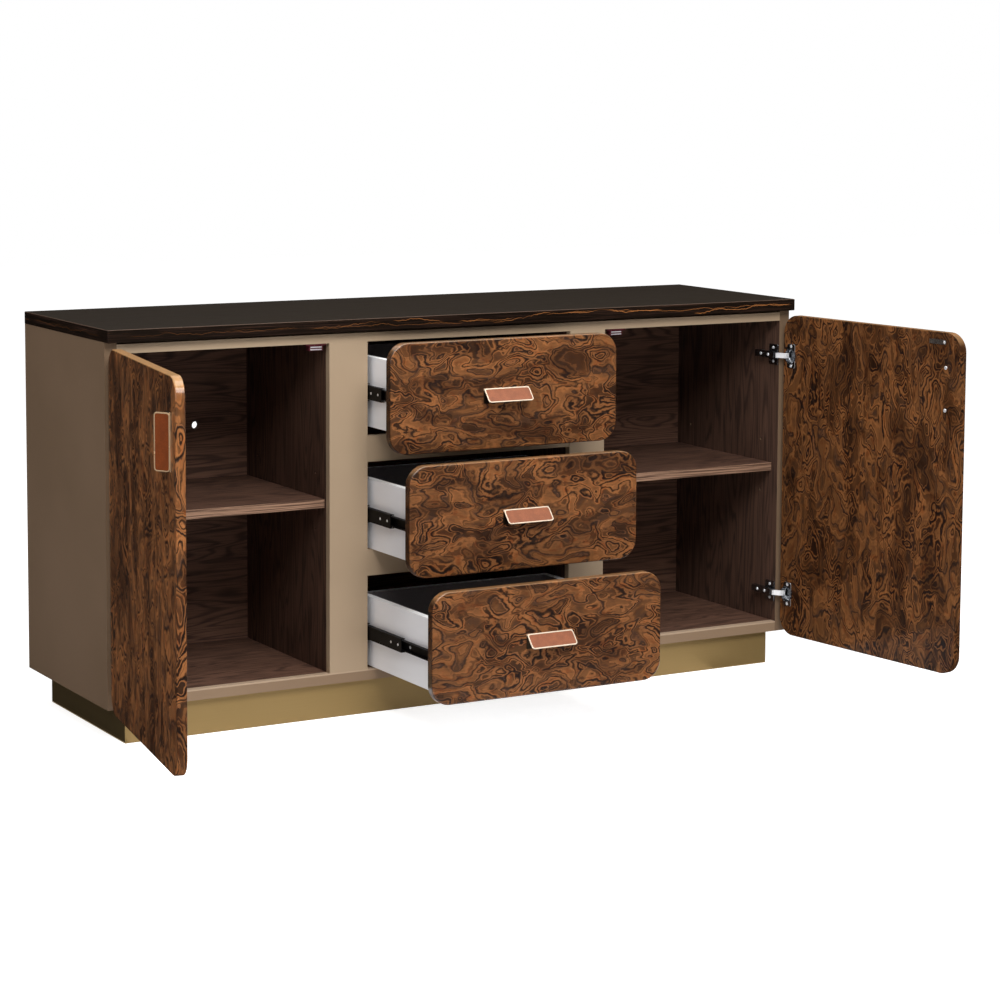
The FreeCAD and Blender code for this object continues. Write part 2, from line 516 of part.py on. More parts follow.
for side, word in ((-1, "left"), (1, "right")):
    door = f"{word}_door"
    body = panel(door + "_blank", (door_span(side, "0", DOOR_WIDE)[0], DOOR_LOW),
                 (DOOR_WIDE, f"{DOOR_HIGH} - {DOOR_LOW}"), f"-{INNER_FACE}")
    bores = []
    cups = []
    links = []
    for level, height in HINGE_HEIGHTS.items():
        name = f"{word}_{level}_cup"
        middle = door_x(side, CUP_MIDDLE)
        bores.append(rod(name + "_bore", "cup_radius + cup_play", "cup_depth + cup_play + 1", middle,
                         f"{INNER_FACE} - cup_depth - cup_play", height, (0, 1, 0)))
        shell = rod(name + "_shell", "cup_radius", "cup_depth", middle, f"{INNER_FACE} - cup_depth", height,
                    (0, 1, 0))
        ear_low = f"{CUP_MIDDLE} + ear_shift - ear_width / 2"
        ears = block(name + "_ears", door_span(side, ear_low, f"{ear_low} + ear_width"),
                     (INNER_FACE, f"{INNER_FACE} + cup_lip"),
                     (f"{height} - ear_span / 2", f"{height} + ear_span / 2"))
        hollow = rod(name + "_hollow", "cup_radius - cup_wall", "cup_depth + cup_lip", middle,
                     f"{INNER_FACE} - cup_depth + cup_wall", height, (0, 1, 0))
        dish = cut(name + "_dish", fuse(name + "_stock", [shell, ears]), [hollow])
        offset = f"({CUP_MIDDLE} - cup_pin_edge + cup_pin_radius)"
        reach = f"sqrt((cup_radius - cup_play) ^ 2 - {offset} ^ 2)"
        pin = rod(name + "_pin", "cup_pin_radius", f"2 * {reach}", "0", "0", f"{height} - {reach}")
        cups.append(fuse(name, [dish, pin]))

        name = f"{word}_{level}_link"
        low = f"{height} - link_half"
        points = [(-side * x, -y) for x, y in link_centre_line()]
        strip = doc.addObject("Part::Extrusion", name + "_strip")
        strip.Base = strip_outline(name + "_outline", points)
        strip.DirMode = "Custom"
        strip.Dir = Vector(0, 0, 1)
        strip.Solid = True
        bind(strip, LengthFwd="2 * link_half")
        place(strip, "0", "0", low)
        solids = [strip]
        holes = []
        for part, (x, y), eye, pin_radius in (("cup", points[0], "cup_eye", "cup_pin_radius"),
                                              ("arm", points[-1], "link_eye", "arm_pin_radius")):
            solids.append(rod(f"{name}_{part}_eye", eye, "2 * link_half", repr(x), repr(y), low))
            holes.append(rod(f"{name}_{part}_hole", f"{pin_radius} + pivot_play", "2 * link_half + 2",
                             repr(x), repr(y), f"{low} - 1"))
        links.append(cut(name, fuse(name + "_stock", solids), holes))

    screw_edge = f"({DOOR_WIDE} - handle_edge - screw_inset)"
    screws = []
    for end in (-1, 1):
        screws.append(rod(f"{door}_screw_{end + 1}", "screw_head", "screw_head_rise", door_x(side, screw_edge),
                          INNER_FACE, f"({DOOR_HANDLE} + {end} * screw_pitch / 2)", (0, 1, 0)))
    keep(door_place(cut(f"{door}_panel", body, bores), side, word), f"{door}_panel")
    keep(door_place(group(f"{door}_hinge_cups", cups), side, word), f"{door}_hinge_cups")
    keep(door_place(group(f"{door}_handle_screws", screws), side, word), f"{door}_handle_screws")

    strike_middle = f"({DOOR_WIDE} - strike_edge)"
    strike = block(f"{door}_strike", door_span(side, f"{strike_middle} - strike_width / 2",
                                               f"{strike_middle} + strike_width / 2"),
                   (INNER_FACE, f"{INNER_FACE} + strike_board"),
                   (f"{DOOR_HIGH} - strike_drop - strike_height", f"{DOOR_HIGH} - strike_drop"))
    keep(door_place(group(f"{door}_strike_plate", [strike]), side, word), f"{door}_strike_plate")

    pull, inset = handle(f"{door}_handle", (door_x(side, f"{DOOR_WIDE} - handle_edge"), OUTER_FACE,
                                            DOOR_HANDLE), (side, 0, 0), (0, -1, 0))
    keep(door_place(group(f"{door}_handle", [pull]), side, word), f"{door}_handle")
    keep(door_place(group(f"{door}_leather", [inset]), side, word), f"{door}_leather")

    chain = group(f"{word}_hinge_links", links)
    place(chain, f"{side} * ({HALF} - {ARM_IN})", f"{FRONT} - {ARM_FORE}", "0",
          f"{side} * link_ratio * {word}_door_angle")
    keep(chain, f"{word}_hinge_links")


# Drawers on three-member runners
def channel(name, side, near, far, half, opens_in, middle, start):
    """One runner member; near and far are distances from the drawer wall."""
    ends = (start, f"{start} + {SLIDE_LENGTH}")
    stock = block(name + "_stock", sided(side, f"bay_half - ({far})", f"bay_half - ({near})"), ends,
                  (f"{middle} - {half}", f"{middle} + {half}"))
    hollow_near = f"{near} + slide_sheet" if opens_in else f"{near} - 1"
    hollow_far = f"{far} + 1" if opens_in else f"{far} - slide_sheet"
    hollow = block(name + "_hollow", sided(side, f"bay_half - ({hollow_far})", f"bay_half - ({hollow_near})"),
                   (f"{ends[0]} - 1", f"{ends[1]} + 1"),
                   (f"{middle} - {half} + slide_sheet", f"{middle} + {half} - slide_sheet"))
    return cut(name, stock, [hollow])


def bearing(name, member, side, near, half, guide, middle, start):
    """Adds the ball keepers at a member's rear end, which bear on the member outside it."""
    ends = (f"{start} + {SLIDE_LENGTH} - keeper_length", f"{start} + {SLIDE_LENGTH}")
    span = sided(side, f"bay_half - ({near}) - keeper_width", f"bay_half - ({near})")
    keepers = []
    for up in (-1, 1):
        rise = (f"{middle} + {up} * {half}", f"{middle} + {up} * ({guide} - slide_sheet - keeper_play)")
        keepers.append(block(f"{name}_keeper_{up + 1}", span, ends, rise if up > 0 else rise[::-1]))
    return fuse(name, [member] + keepers)


outer_members = []
for word in ("upper", "middle", "lower"):
    drawer = f"{word}_drawer"
    out = f"{word}_drawer_out"
    foot = DRAWER_FOOT[word]
    lift = f"{word}_box_lift"
    spot = ("0", f"{CLOSED} - {out}", foot)
    runner = f"({lift} + slide_rise)"

    front = panel(f"{drawer}_front", (f"-{DRAWER_HALF}", "0"), (f"2 * {DRAWER_HALF}", DRAWER_TALL), "0")
    keep(place(front, *spot), f"{drawer}_front")

    rise = (lift, f"{lift} + box_height")
    slot_rise = (f"{lift} + box_floor_lift", f"{lift} + box_floor_lift + box_floor + groove_play")
    inside = f"({BOX_HALF} - box_board)"
    sides = []
    for side, edge in ((-1, "left"), (1, "right")):
        name = f"{drawer}_{edge}_side"
        stock = block(name + "_stock", sided(side, inside, BOX_HALF), ("0", BOX_LENGTH), rise)
        groove = block(name + "_groove", sided(side, f"{inside} - 1", f"{inside} + box_groove"),
                       ("box_board - box_groove", f"{BOX_LENGTH} - box_board + box_groove"), slot_rise)
        sides.append(cut(name, stock, [groove]))
    keep(place(group(f"{drawer}_box_sides", sides), *spot), f"{drawer}_box_sides")

    ends = []
    for edge, near, inward in (("fore", "0", 1), ("rear", f"{BOX_LENGTH} - box_board", -1)):
        name = f"{drawer}_{edge}_end"
        face = "box_board" if inward > 0 else f"{BOX_LENGTH} - box_board"
        stock = block(name + "_stock", (f"-{inside}", inside), (near, f"{near} + box_board"), rise)
        groove_y = (f"{face} - box_groove", f"{face} + 1")
        if inward < 0:
            groove_y = (f"{face} - 1", f"{face} + box_groove")
        groove = block(name + "_groove", (f"-{inside} - 1", f"{inside} + 1"), groove_y, slot_rise)
        ends.append(cut(name, stock, [groove]))
    keep(place(group(f"{drawer}_box_ends", ends), *spot), f"{drawer}_box_ends")

    tuck = "(box_groove - groove_play)"
    base = block(f"{drawer}_base", (f"-{inside} - {tuck}", f"{inside} + {tuck}"),
                 (f"box_board - {tuck}", f"{BOX_LENGTH} - box_board + {tuck}"),
                 (f"{lift} + box_floor_lift", f"{lift} + box_floor_lift + box_floor"))
    keep(place(group(f"{drawer}_box_bottom", [base]), *spot), f"{drawer}_box_bottom")

    pull, inset = handle(f"{drawer}_handle", ("0", "-front_board", f"{DRAWER_TALL} / 2 + handle_rise"),
                         (0, 0, -1), (0, -1, 0))
    keep(place(group(f"{drawer}_handle", [pull]), *spot), f"{drawer}_handle")
    keep(place(group(f"{drawer}_leather", [inset]), *spot), f"{drawer}_leather")

    inner_pair = []
    middle_pair = []
    for side, edge in ((-1, "left"), (1, "right")):
        name = f"{drawer}_{edge}_runner"
        start = f"({FRONT} + slide_start)"
        local = "(front_gap + slide_start)"
        outer_members.append(channel(name + "_outer", side, "0", "outer_reach", "outer_half", True,
                                     f"({foot} + {runner})", start))
        member = channel(name + "_mid", side, "middle_start", "middle_reach", "middle_half", True,
                         runner, local)
        middle_pair.append(bearing(name + "_mid_bearing", member, side, "middle_start + slide_sheet",
                                   "middle_half", "outer_half", runner, local))
        member = channel(name + "_in", side, "inner_start", "slide_depth", "inner_half", False, runner, local)
        inner_pair.append(bearing(name + "_in_bearing", member, side, "inner_start + slide_sheet",
                                  "inner_half", "middle_half", runner, local))
    keep(place(group(f"{drawer}_inner_runners", inner_pair), *spot), f"{drawer}_inner_runners")
    keep(place(group(f"{drawer}_middle_runners", middle_pair), "0", f"{CLOSED} - {out} / 2", foot),
         f"{drawer}_middle_runners")
keep(group("outer_runners", outer_members), "outer_runners")

# Check the model, then write one file for each piece
doc.recompute()
for item in doc.Objects:
    if "Invalid" in item.State or "Error" in item.State:
        raise RuntimeError(f"{item.Name} did not compute: {item.State}")
os.makedirs("parts", exist_ok=True)
for item in pieces:
    if item.Shape.isNull() or not item.Shape.isValid() or not item.Shape.Solids:
        raise RuntimeError(f"{item.Label} has no sound shape")
    item.Shape.exportStep(f"parts/{item.Label}.step")
print(len(pieces), "pieces", sum(len(item.Shape.Solids) for item in pieces), "solids")
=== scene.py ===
# %% [markdown]
# A wide sideboard, drawn with its doors open and its drawers part way out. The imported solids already
# stand in their places, in metres, so this lesson only dresses them: it photographs them from where the
# real one was seen, gives every board, pull and hinge its finish, swaps the few solids whose edges need
# softer rounding than a plain solid has, and adds the screws.

# %% Load the solids
import json
import math
import bmesh
import bpy
from mathutils import Matrix, Vector


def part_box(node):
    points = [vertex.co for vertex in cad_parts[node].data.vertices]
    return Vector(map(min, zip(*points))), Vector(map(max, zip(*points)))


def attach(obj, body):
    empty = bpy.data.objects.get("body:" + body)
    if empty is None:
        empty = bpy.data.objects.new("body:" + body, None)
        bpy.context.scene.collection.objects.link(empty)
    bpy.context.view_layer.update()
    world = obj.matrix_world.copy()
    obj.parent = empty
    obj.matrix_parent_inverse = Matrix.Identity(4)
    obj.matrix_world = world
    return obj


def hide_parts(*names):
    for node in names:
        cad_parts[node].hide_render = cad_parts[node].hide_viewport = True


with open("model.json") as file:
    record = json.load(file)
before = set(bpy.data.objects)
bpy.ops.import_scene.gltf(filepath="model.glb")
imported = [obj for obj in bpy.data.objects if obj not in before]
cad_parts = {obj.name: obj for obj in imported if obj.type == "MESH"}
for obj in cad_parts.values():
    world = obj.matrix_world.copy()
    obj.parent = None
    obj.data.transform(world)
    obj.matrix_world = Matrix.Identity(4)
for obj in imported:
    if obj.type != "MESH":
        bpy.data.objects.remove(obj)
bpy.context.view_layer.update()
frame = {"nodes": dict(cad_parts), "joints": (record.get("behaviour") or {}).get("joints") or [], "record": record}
nodes = frame["nodes"]
scene = bpy.context.scene
scene.view_settings.view_transform = "Standard"

# %% [markdown]
# The camera stands to the left of the sideboard, a little above its top, with a long lens, and looks
# slightly down. A small lens shift does the rest of the framing, so the upright edges stay nearly upright.
# Its place and turns were found by lining up the edges of the case, and the lens is given in pixels.

# %% Camera
PICTURE = 1000
SENSOR = 36
EYE = Vector((-2.68805, -4.99460, 1.30151))
YAW, PITCH, ROLL = 0.52239, 0.10304, 0.00548
FOCAL = 2695.43
SIGHT = (500, 350)

level = Vector((math.sin(YAW), math.cos(YAW), 0))
ahead = level * math.cos(PITCH) - Vector((0, 0, math.sin(PITCH)))
upright = Vector((0, 0, math.cos(PITCH))) + level * math.sin(PITCH)
sideways = Vector((math.cos(YAW), -math.sin(YAW), 0))
across = sideways * math.cos(ROLL) + upright * math.sin(ROLL)
above = upright * math.cos(ROLL) - sideways * math.sin(ROLL)
lens = bpy.data.cameras.new("camera")
lens.sensor_width = SENSOR
lens.lens = SENSOR * FOCAL / PICTURE
lens.shift_x = 0.5 - SIGHT[0] / PICTURE
lens.shift_y = SIGHT[1] / PICTURE - 0.5
camera = bpy.data.objects.new("camera", lens)
camera.matrix_world = Matrix.Translation(EYE) @ Matrix((across, above, -ahead)).transposed().to_4x4()
scene.collection.objects.link(camera)
scene.camera = camera
print("lens", round(lens.lens, 1), "shift", round(lens.shift_x, 3), round(lens.shift_y, 3))

# %% [markdown]
# Every finish here is made of shader nodes, and two small classes keep that readable. The first, a Level, is
# a number that changes over a surface. It holds the output of a node, and adding or multiplying it like any
# other number adds a Math node.

# %% Levels
class Level:
    """A number, colour or vector that a node puts out."""

    def __init__(self, finish, socket):
        self.finish = finish
        self.socket = socket

    def work(self, operation, *terms):
        return self.finish.node("ShaderNodeMath", {"operation": operation}, dict(enumerate(terms)))

    def __add__(self, other):
        return self.work("ADD", self, other)

    def __sub__(self, other):
        return self.work("SUBTRACT", self, other)

    def __rsub__(self, other):
        return self.work("SUBTRACT", other, self)

    def __mul__(self, other):
        return self.work("MULTIPLY", self, other)

    def __truediv__(self, other):
        return self.work("DIVIDE", self, other)

    def __pow__(self, other):
        return self.work("POWER", self, other)

    def __lt__(self, other):
        return self.work("LESS_THAN", self, other)

    def __abs__(self):
        return self.work("ABSOLUTE", self)

    __radd__ = __add__
    __rmul__ = __mul__

    def fold(self, width):
        """Runs up to the width and back down again, over and over."""
        return self.work("PINGPONG", self, width)

    def rise(self, low, high):
        """0 below low, 1 above high and a smooth step between."""
        return self.finish.node("ShaderNodeMapRange", {"interpolation_type": "SMOOTHSTEP", "clamp": True},
                                {0: self, 1: low, 2: high, 3: 0.0, 4: 1.0})


# %% [markdown]
# The second class, a Finish, owns one material and adds every node through a single method. Its other
# methods are short names for the nodes used most: places on a piece, noises, mixes of two colours, bumps.
# Colours are given here as a screen shows them. Shaders count in linear light, so a function changes one
# into the other.

# %% Finishes
class Finish:
    """One material, or the world where that is given."""

    def __init__(self, name, owner=None):
        self.material = owner or bpy.data.materials.new(name)
        self.material.use_nodes = True
        self.tree = self.material.node_tree
        self.tree.nodes.clear()

    def node(self, kind, settings=None, inputs=None, output=0):
        """Adds a node: its settings first, then the values or links of its sockets."""
        made = self.tree.nodes.new(kind)
        for key, value in (settings or {}).items():
            if key != "stops":
                setattr(made, key, value)
                continue
            while len(made.color_ramp.elements) < len(value):
                made.color_ramp.elements.new(0.5)
            for stop, (place, colour) in zip(made.color_ramp.elements, value):
                stop.position = place
                stop.color = colour
        for key, value in (inputs or {}).items():
            if isinstance(value, Level):
                self.tree.links.new(value.socket, made.inputs[key])
            else:
                made.inputs[key].default_value = value
        return Level(self, made.outputs[output]) if made.outputs else None

    def place(self, stretch=(1, 1, 1)):
        """Places on the piece, in metres, stretched along some axes."""
        spot = self.node("ShaderNodeTexCoord", output="Object")
        return self.node("ShaderNodeMapping", None, {"Vector": spot, "Scale": stretch})

    def parts(self, vector):
        split = self.node("ShaderNodeSeparateXYZ", None, {0: vector})
        return [Level(self, socket) for socket in split.socket.node.outputs]

    def facing(self):
        """The surface's own direction on the unmoved piece, as three numbers."""
        return self.parts(self.node("ShaderNodeTexCoord", output="Normal"))

    def noise(self, vector, scale, detail=2.0, roughness=0.5, twist=0.0, output=0):
        return self.node("ShaderNodeTexNoise", None, {"Vector": vector, "Scale": scale, "Detail": detail,
                                                      "Roughness": roughness, "Distortion": twist}, output)

    def cells(self, vector, scale):
        return self.node("ShaderNodeTexVoronoi", None, {"Vector": vector, "Scale": scale}, "Distance")

    def ramp(self, value, stops):
        return self.node("ShaderNodeValToRGB", {"stops": stops}, {0: value})

    def mix(self, share, first, second, blend="MIX"):
        return self.node("ShaderNodeMix", {"data_type": "RGBA", "blend_type": blend, "clamp_factor": True},
                         {0: share, 6: first, 7: second}, 2)

    def drift(self, vector, by, amount):
        """Moves a place sideways by a coloured noise."""
        push = self.node("ShaderNodeVectorMath", {"operation": "SUBTRACT"}, {0: by, 1: (0.5, 0.5, 0.5)})
        push = self.node("ShaderNodeVectorMath", {"operation": "SCALE"}, {0: push, "Scale": amount})
        return self.node("ShaderNodeVectorMath", {"operation": "ADD"}, {0: vector, 1: push})

    def bump(self, height, strength, distance):
        return self.node("ShaderNodeBump", None, {"Height": height, "Strength": strength,
                                                  "Distance": distance})

    def coat(self, inputs):
        """The surface itself, from the sockets that this finish sets."""
        shader = self.node("ShaderNodeBsdfPrincipled", None, inputs)
        self.node("ShaderNodeOutputMaterial", None, {0: shader})
        print("finish", self.material.name, "with", len(self.tree.nodes), "nodes")
        return self


def tone(red, green, blue):
    """A colour as seen on a screen, 0 to 255, in the linear numbers that shaders use."""
    steps = [value / 255 for value in (red, green, blue)]
    return tuple(s / 12.92 if s < 0.04045 else ((s + 0.055) / 1.055) ** 2.4 for s in steps) + (1.0,)


print("a middle grey of 128 is", round(tone(128, 128, 128)[0], 3), "in linear light")

# %% [markdown]
# The sideboard was shot in a studio with large soft lamps. An area lamp gives the same soft light: the key
# stands in front and high up, a second hangs above the top, and a weak one fills from the left.

# %% Lamps
def softbox(name, place, target, wide, tall, power):
    lamp = bpy.data.lights.new(name, "AREA")
    lamp.shape = "RECTANGLE"
    lamp.size = wide
    lamp.size_y = tall
    lamp.energy = power
    holder = bpy.data.objects.new(name, lamp)
    holder.location = place
    holder.rotation_euler = (Vector(target) - Vector(place)).to_track_quat("-Z", "Y").to_euler()
    scene.collection.objects.link(holder)
    print(name, power, "watts")


softbox("key_softbox", (-0.8, -3.1, 3.2), (0.0, 0.0, 0.45), 2.4, 1.6, 140)
softbox("top_softbox", (0.3, -0.7, 3.6), (0.0, -0.2, 0.6), 2.4, 1.2, 55)
softbox("fill_softbox", (-3.6, -1.6, 1.4), (0.0, -0.3, 0.4), 2.0, 1.6, 32)

# %% [markdown]
# The picture was cut out, so nothing but white surrounds the sideboard. The world is white where the camera,
# a mirror or a glass looks at it, and a much weaker grey where it lights the object. A pale floor, just
# under the plinth, carries the soft shadow. It glows for the same rays, which makes it as white as the room.

# %% White room and floor
MM = 0.001
ROOM_LIGHT = 0.32
FLOOR_DROP = 0.4 * MM


def looked_at(finish):
    """1 where the camera, a mirror or a glass looks, and 0 where the surface only gives light."""
    rays = finish.node("ShaderNodeLightPath").socket.node.outputs
    eye, mirror, glass = (Level(finish, rays[name])
                          for name in ("Is Camera Ray", "Is Glossy Ray", "Is Transmission Ray"))
    return (eye + mirror + glass).rise(0.0, 1.0)


def stood(name, shape):
    """Makes a bmesh into a thing of the studio."""
    sheet = bpy.data.meshes.new(name)
    shape.to_mesh(sheet)
    shape.free()
    thing = bpy.data.objects.new(name, sheet)
    scene.collection.objects.link(thing)
    return thing


world = bpy.data.worlds.new("white_room")
scene.world = world
room = Finish("white_room", world)
strength = ROOM_LIGHT + (1 - ROOM_LIGHT) * looked_at(room)
lit = room.node("ShaderNodeBackground", None, {"Color": (1, 1, 1, 1), "Strength": strength})
room.node("ShaderNodeOutputWorld", None, {0: lit})

shape = bmesh.new()
bmesh.ops.create_grid(shape, x_segments=1, y_segments=1, size=12)
bmesh.ops.translate(shape, vec=(0, 0, -FLOOR_DROP), verts=shape.verts)
floor = stood("floor", shape)
pale = Finish("pale_floor")
matt = pale.node("ShaderNodeBsdfDiffuse", None, {"Color": (0.80, 0.80, 0.80, 1)})
glow = pale.node("ShaderNodeEmission", None, {"Color": (1, 1, 1, 1), "Strength": 0.78})
bright = pale.node("ShaderNodeAddShader", None, {0: matt, 1: glow})
both = pale.node("ShaderNodeMixShader", None, {0: looked_at(pale), 1: matt, 2: bright})
pale.node("ShaderNodeOutputMaterial", None, {0: both})
floor.data.materials.append(pale.material)
print("floor", [round(side, 1) for side in floor.dimensions], "metres")

# %% [markdown]
# A white room would lay a white veil over everything polished. Photographers hold dark cards where a gloss
# would see the room. Here a dark ring lies round the sideboard and rises into a wall, and two mats lie on the
# floor where the ends of the plinth look. Only reflections see them: they cast no shadow and give next to no
# light. The ring is a bent line that is spun round.

# %% Dark card
RING = ((0.80, 0, 0.001), (7, 0, 0.001), (7, 0, 4.5))
MATS = (((0.95, 1.55, 1), (-1.225, 0.025, 0.002)), ((0.36, 0.22, 1), (0.80, -0.16, 0.002)))

shape = bmesh.new()
line = [shape.verts.new(spot) for spot in RING]
line += [shape.edges.new(pair) for pair in zip(line, line[1:])]
bmesh.ops.spin(shape, geom=line, cent=(0, 0, 0), axis=(0, 0, 1), angle=math.radians(360), steps=48,
               use_merge=True)
for size, middle in MATS:
    mat = bmesh.ops.create_grid(shape, x_segments=1, y_segments=1, size=0.5)["verts"]
    bmesh.ops.scale(shape, vec=size, verts=mat)
    bmesh.ops.translate(shape, vec=middle, verts=mat)
card = stood("dark_card", shape)
card.visible_camera = False
card.visible_diffuse = False
card.visible_shadow = False
card.visible_transmission = False
dull = Finish("dark_card")
faint = dull.node("ShaderNodeEmission", None, {"Color": (1, 0.93, 0.84, 1), "Strength": 0.014})
dull.node("ShaderNodeOutputMaterial", None, {0: faint})
card.data.materials.append(dull.material)
print("card of", len(card.data.polygons), "faces")

# %% [markdown]
# The doors and drawers wear a burl veneer under lacquer. Its figure is like a map of hills. A smooth noise,
# pushed about by two others, is the land, and a ramp paints it in bands of brown and dark brown. Thin dark
# lines follow the bands, each with a pale rim. A line drawn at a certain height would be wide on flat land
# and thin on a slope, so the land is read at three more places close by: how much it climbs there turns a
# difference of height into a distance, and each line is then equally thin. A cloud that is drawn out along
# the board darkens part of it. The figure runs up the doors and along the drawers, so the places are
# squeezed along one axis first. The left leaf of veneer has a larger figure. Upper edges get a pale painted
# highlight, the left ends of the drawer fronts get painted shade, and the lacquer is dull where it looks
# down at the floor.

# %% Burl veneer
def burl(name, stretch, along, light, wash, gleam, pale, dim=0.0):
    """Stretch squeezes the figure, along is its long axis, light scales the browns, wash tints the cloud.

    Gleam is how much lacquer shows, pale how strong the painted highlight on upper edges is and dim how strong the
    painted shade on the left ends is.
    """
    finish = Finish(name)
    spot = finish.place(stretch)
    push = finish.noise(spot, 0.55, 1.5, 0.5, 0.0, "Color")
    ragged = finish.noise(spot, 4.0, 2.0, 0.5, 0.0, "Color")
    pushed = finish.drift(finish.drift(spot, push, 1.9), ragged, 0.18)
    drawn = [0.95 * part for part in stretch]
    drawn[along] = 0.40 * stretch[along]
    sky = finish.drift(finish.drift(finish.place(drawn), push, 1.3), ragged, 0.25)
    cloud = finish.noise(sky, 1.0, 2.2, 0.5)

    def brown(share):
        return tone(*(part * light * share for part in (143, 91, 51)))

    def dark(share):
        return tone(*(part * light * share for part in (54, 38, 30)))

    def land(offset):
        seat = finish.node("ShaderNodeVectorMath", {"operation": "ADD"}, {0: pushed, 1: offset})
        return finish.noise(seat, 1.00, 1.1, 0.5)

    step = 0.03
    here = land((0, 0, 0))
    climbs = [land(offset) - here for offset in ((step, 0, 0), (0, step, 0), (0, 0, step))]
    steep = sum(climb * climb for climb in climbs) ** 0.5 / step + 0.03
    rings = 10
    height = here + (cloud - 0.5) * 0.26
    away = (height * rings).fold(0.5) / (steep * rings)
    bands = finish.ramp(height, [
        (0.190, dark(1.20)), (0.295, brown(0.70)), (0.305, brown(0.95)), (0.395, brown(0.80)),
        (0.405, dark(1.35)), (0.450, brown(0.70)), (0.496, brown(1.00)), (0.504, brown(1.10)),
        (0.596, brown(0.84)), (0.604, dark(1.35)), (0.650, brown(0.66)), (0.696, brown(0.95)),
        (0.704, brown(1.05)), (0.796, brown(0.80)), (0.804, dark(1.30)), (0.900, brown(0.66))])
    shade = cloud.rise(0.500, 0.515) * 0.62 + cloud.rise(0.51, 0.66) * 0.38
    washed = finish.mix(shade, bands, wash, "MULTIPLY")
    fade = finish.noise(pushed, 0.9, 1.0).rise(0.38, 0.60)
    lined = finish.mix((1 - away.rise(0.008, 0.026)) * (fade * 0.46 + 0.44), washed, dark(0.46))
    shore = finish.mix((1 - abs(cloud - 0.503).rise(0.004, 0.010)) * 0.55, lined, dark(0.55))
    rims = (1 - abs(away - 0.054).rise(0.009, 0.027)) * (fade * 0.36 + 0.16)
    rimmed = finish.mix(rims, shore, brown(1.34))
    mottle = finish.noise(pushed, 3.4, 3.0, 0.6)
    lively = finish.mix(mottle.rise(0.50, 0.72) * 0.45, rimmed, brown(1.25), "SOFT_LIGHT")
    shaded = finish.mix((1 - mottle.rise(0.28, 0.50)) * 0.34, lively, dark(1.20))
    threads = [16 * part for part in stretch]
    threads[along] = 3.0 * stretch[along]
    fibre = finish.noise(finish.drift(finish.place(threads), push, 6.0), 1.0, 2.0, 0.6)
    grain = finish.mix(fibre.rise(0.48, 0.70) * 0.26, shaded, dark(1.10))
    across, _, up = finish.facing()
    # Painted highlight: edges that look up are mixed towards a pale tan, standing in for light from above.
    top_edge_highlight = finish.mix(up.rise(0.3, 0.7) * pale, grain, tone(206, 158, 104))
    # Painted shade: faces that look left are mixed towards dark brown, standing in for the shade on the drawer
    # fronts' left ends.
    left_end_shade = finish.mix((0 - across).rise(0.5, 0.9) * dim, top_edge_highlight, dark(0.5))
    lower = (0 - up).rise(0.15, 0.5)
    gloss = finish.noise(spot, 8.0, 2.0)
    return finish.coat({
        "Base Color": left_end_shade, "Roughness": 0.36 + gloss * 0.12, "Specular IOR Level": 0.03 + 0.18 * gleam,
        "Coat Weight": (1 - lower) * gleam, "Coat Roughness": 0.07,
        "Normal": finish.bump(fibre, 0.04, 0.0006)})


# The copies differ in their light value to match how each is lit: the right door's copy is darker, as painted
# shade, and the left door's is lighter, as painted light.
burl_right_door_shaded = burl("burl_veneer_right_door_shaded", (24, 24, 14), 2, 0.76, tone(136, 133, 140), 0.10, 0.25)
burl_left_door_lit = burl("burl_veneer_left_door_lit", (20, 20, 11), 2, 0.93, tone(128, 125, 132), 0.5, 0.60)
burl_along = burl("burl_veneer_lying", (15, 24, 24), 0, 0.88, tone(146, 143, 150), 0.7, 0.22, 0.65)

# %% [markdown]
# The top is a nearly black brown wood. Its flat face is quiet. Its edges show fine lines along the board,
# one or two thin veins of gold brown that wander up and down, and a paler arris, which is a painted highlight.
# A vein is where the height on the edge meets a noise that changes along the edge. Edge and arris are told
# from the flat face by which way the surface looks.

# %% Dark top
def dark_top():
    finish = Finish("dark_wood_top")
    x, y, z = finish.parts(finish.place())
    run = finish.node("ShaderNodeCombineXYZ", None, {0: x + y})
    up = finish.facing()[2]
    edge = 1 - abs(up).rise(0.2, 0.4)
    arris = up.rise(0.25, 0.45) * (1 - up.rise(0.80, 0.95))
    pores = finish.noise(finish.place((14, 420, 420)), 1.0, 3.0, 0.6)
    bands = finish.noise(finish.place((1.2, 16, 40)), 1.0, 3.0, 0.55)
    wood = finish.mix(pores * 0.6 + bands * 0.4, tone(19, 12, 4), tone(32, 22, 9))
    lines = finish.noise(finish.place((5, 5, 1100)), 1.0, 2.0, 0.5).rise(0.54, 0.66)
    lined = finish.mix(lines * edge * 0.5, finish.mix(edge * 0.6, wood, tone(17, 11, 10)), tone(76, 52, 42))
    bold = x.rise(-0.5, 0.1) * 0.72 + 0.16
    for seed, middle, swing, thick in ((3.1, 0.797, 0.060, 0.00045), (7.7, 0.799, 0.050, 0.00025)):
        shifted = finish.node("ShaderNodeVectorMath", {"operation": "ADD"}, {0: run, 1: (0, seed, 0)})
        course = (finish.noise(shifted, 5.0, 5.0, 0.62) - 0.5) * swing + middle
        broken = finish.noise(shifted, 9.0, 1.0).rise(0.42, 0.54)
        vein = (1 - abs(z - course).rise(thick * 0.6, thick * 1.7)) * broken * edge
        lined = finish.mix(vein * bold, lined, tone(176, 112, 62))
    # Painted highlight: the upturned arris is mixed towards a pale brown, standing in for light caught on the
    # rounded edge.
    wear_and_highlight = finish.mix(arris * 0.55, lined, tone(122, 98, 84))
    return finish.coat({
        "Base Color": wear_and_highlight, "Roughness": 0.34 + pores * 0.18, "Specular IOR Level": 0.08,
        "Normal": finish.bump(pores, 0.10, 0.0004)})


top_finish = dark_top()
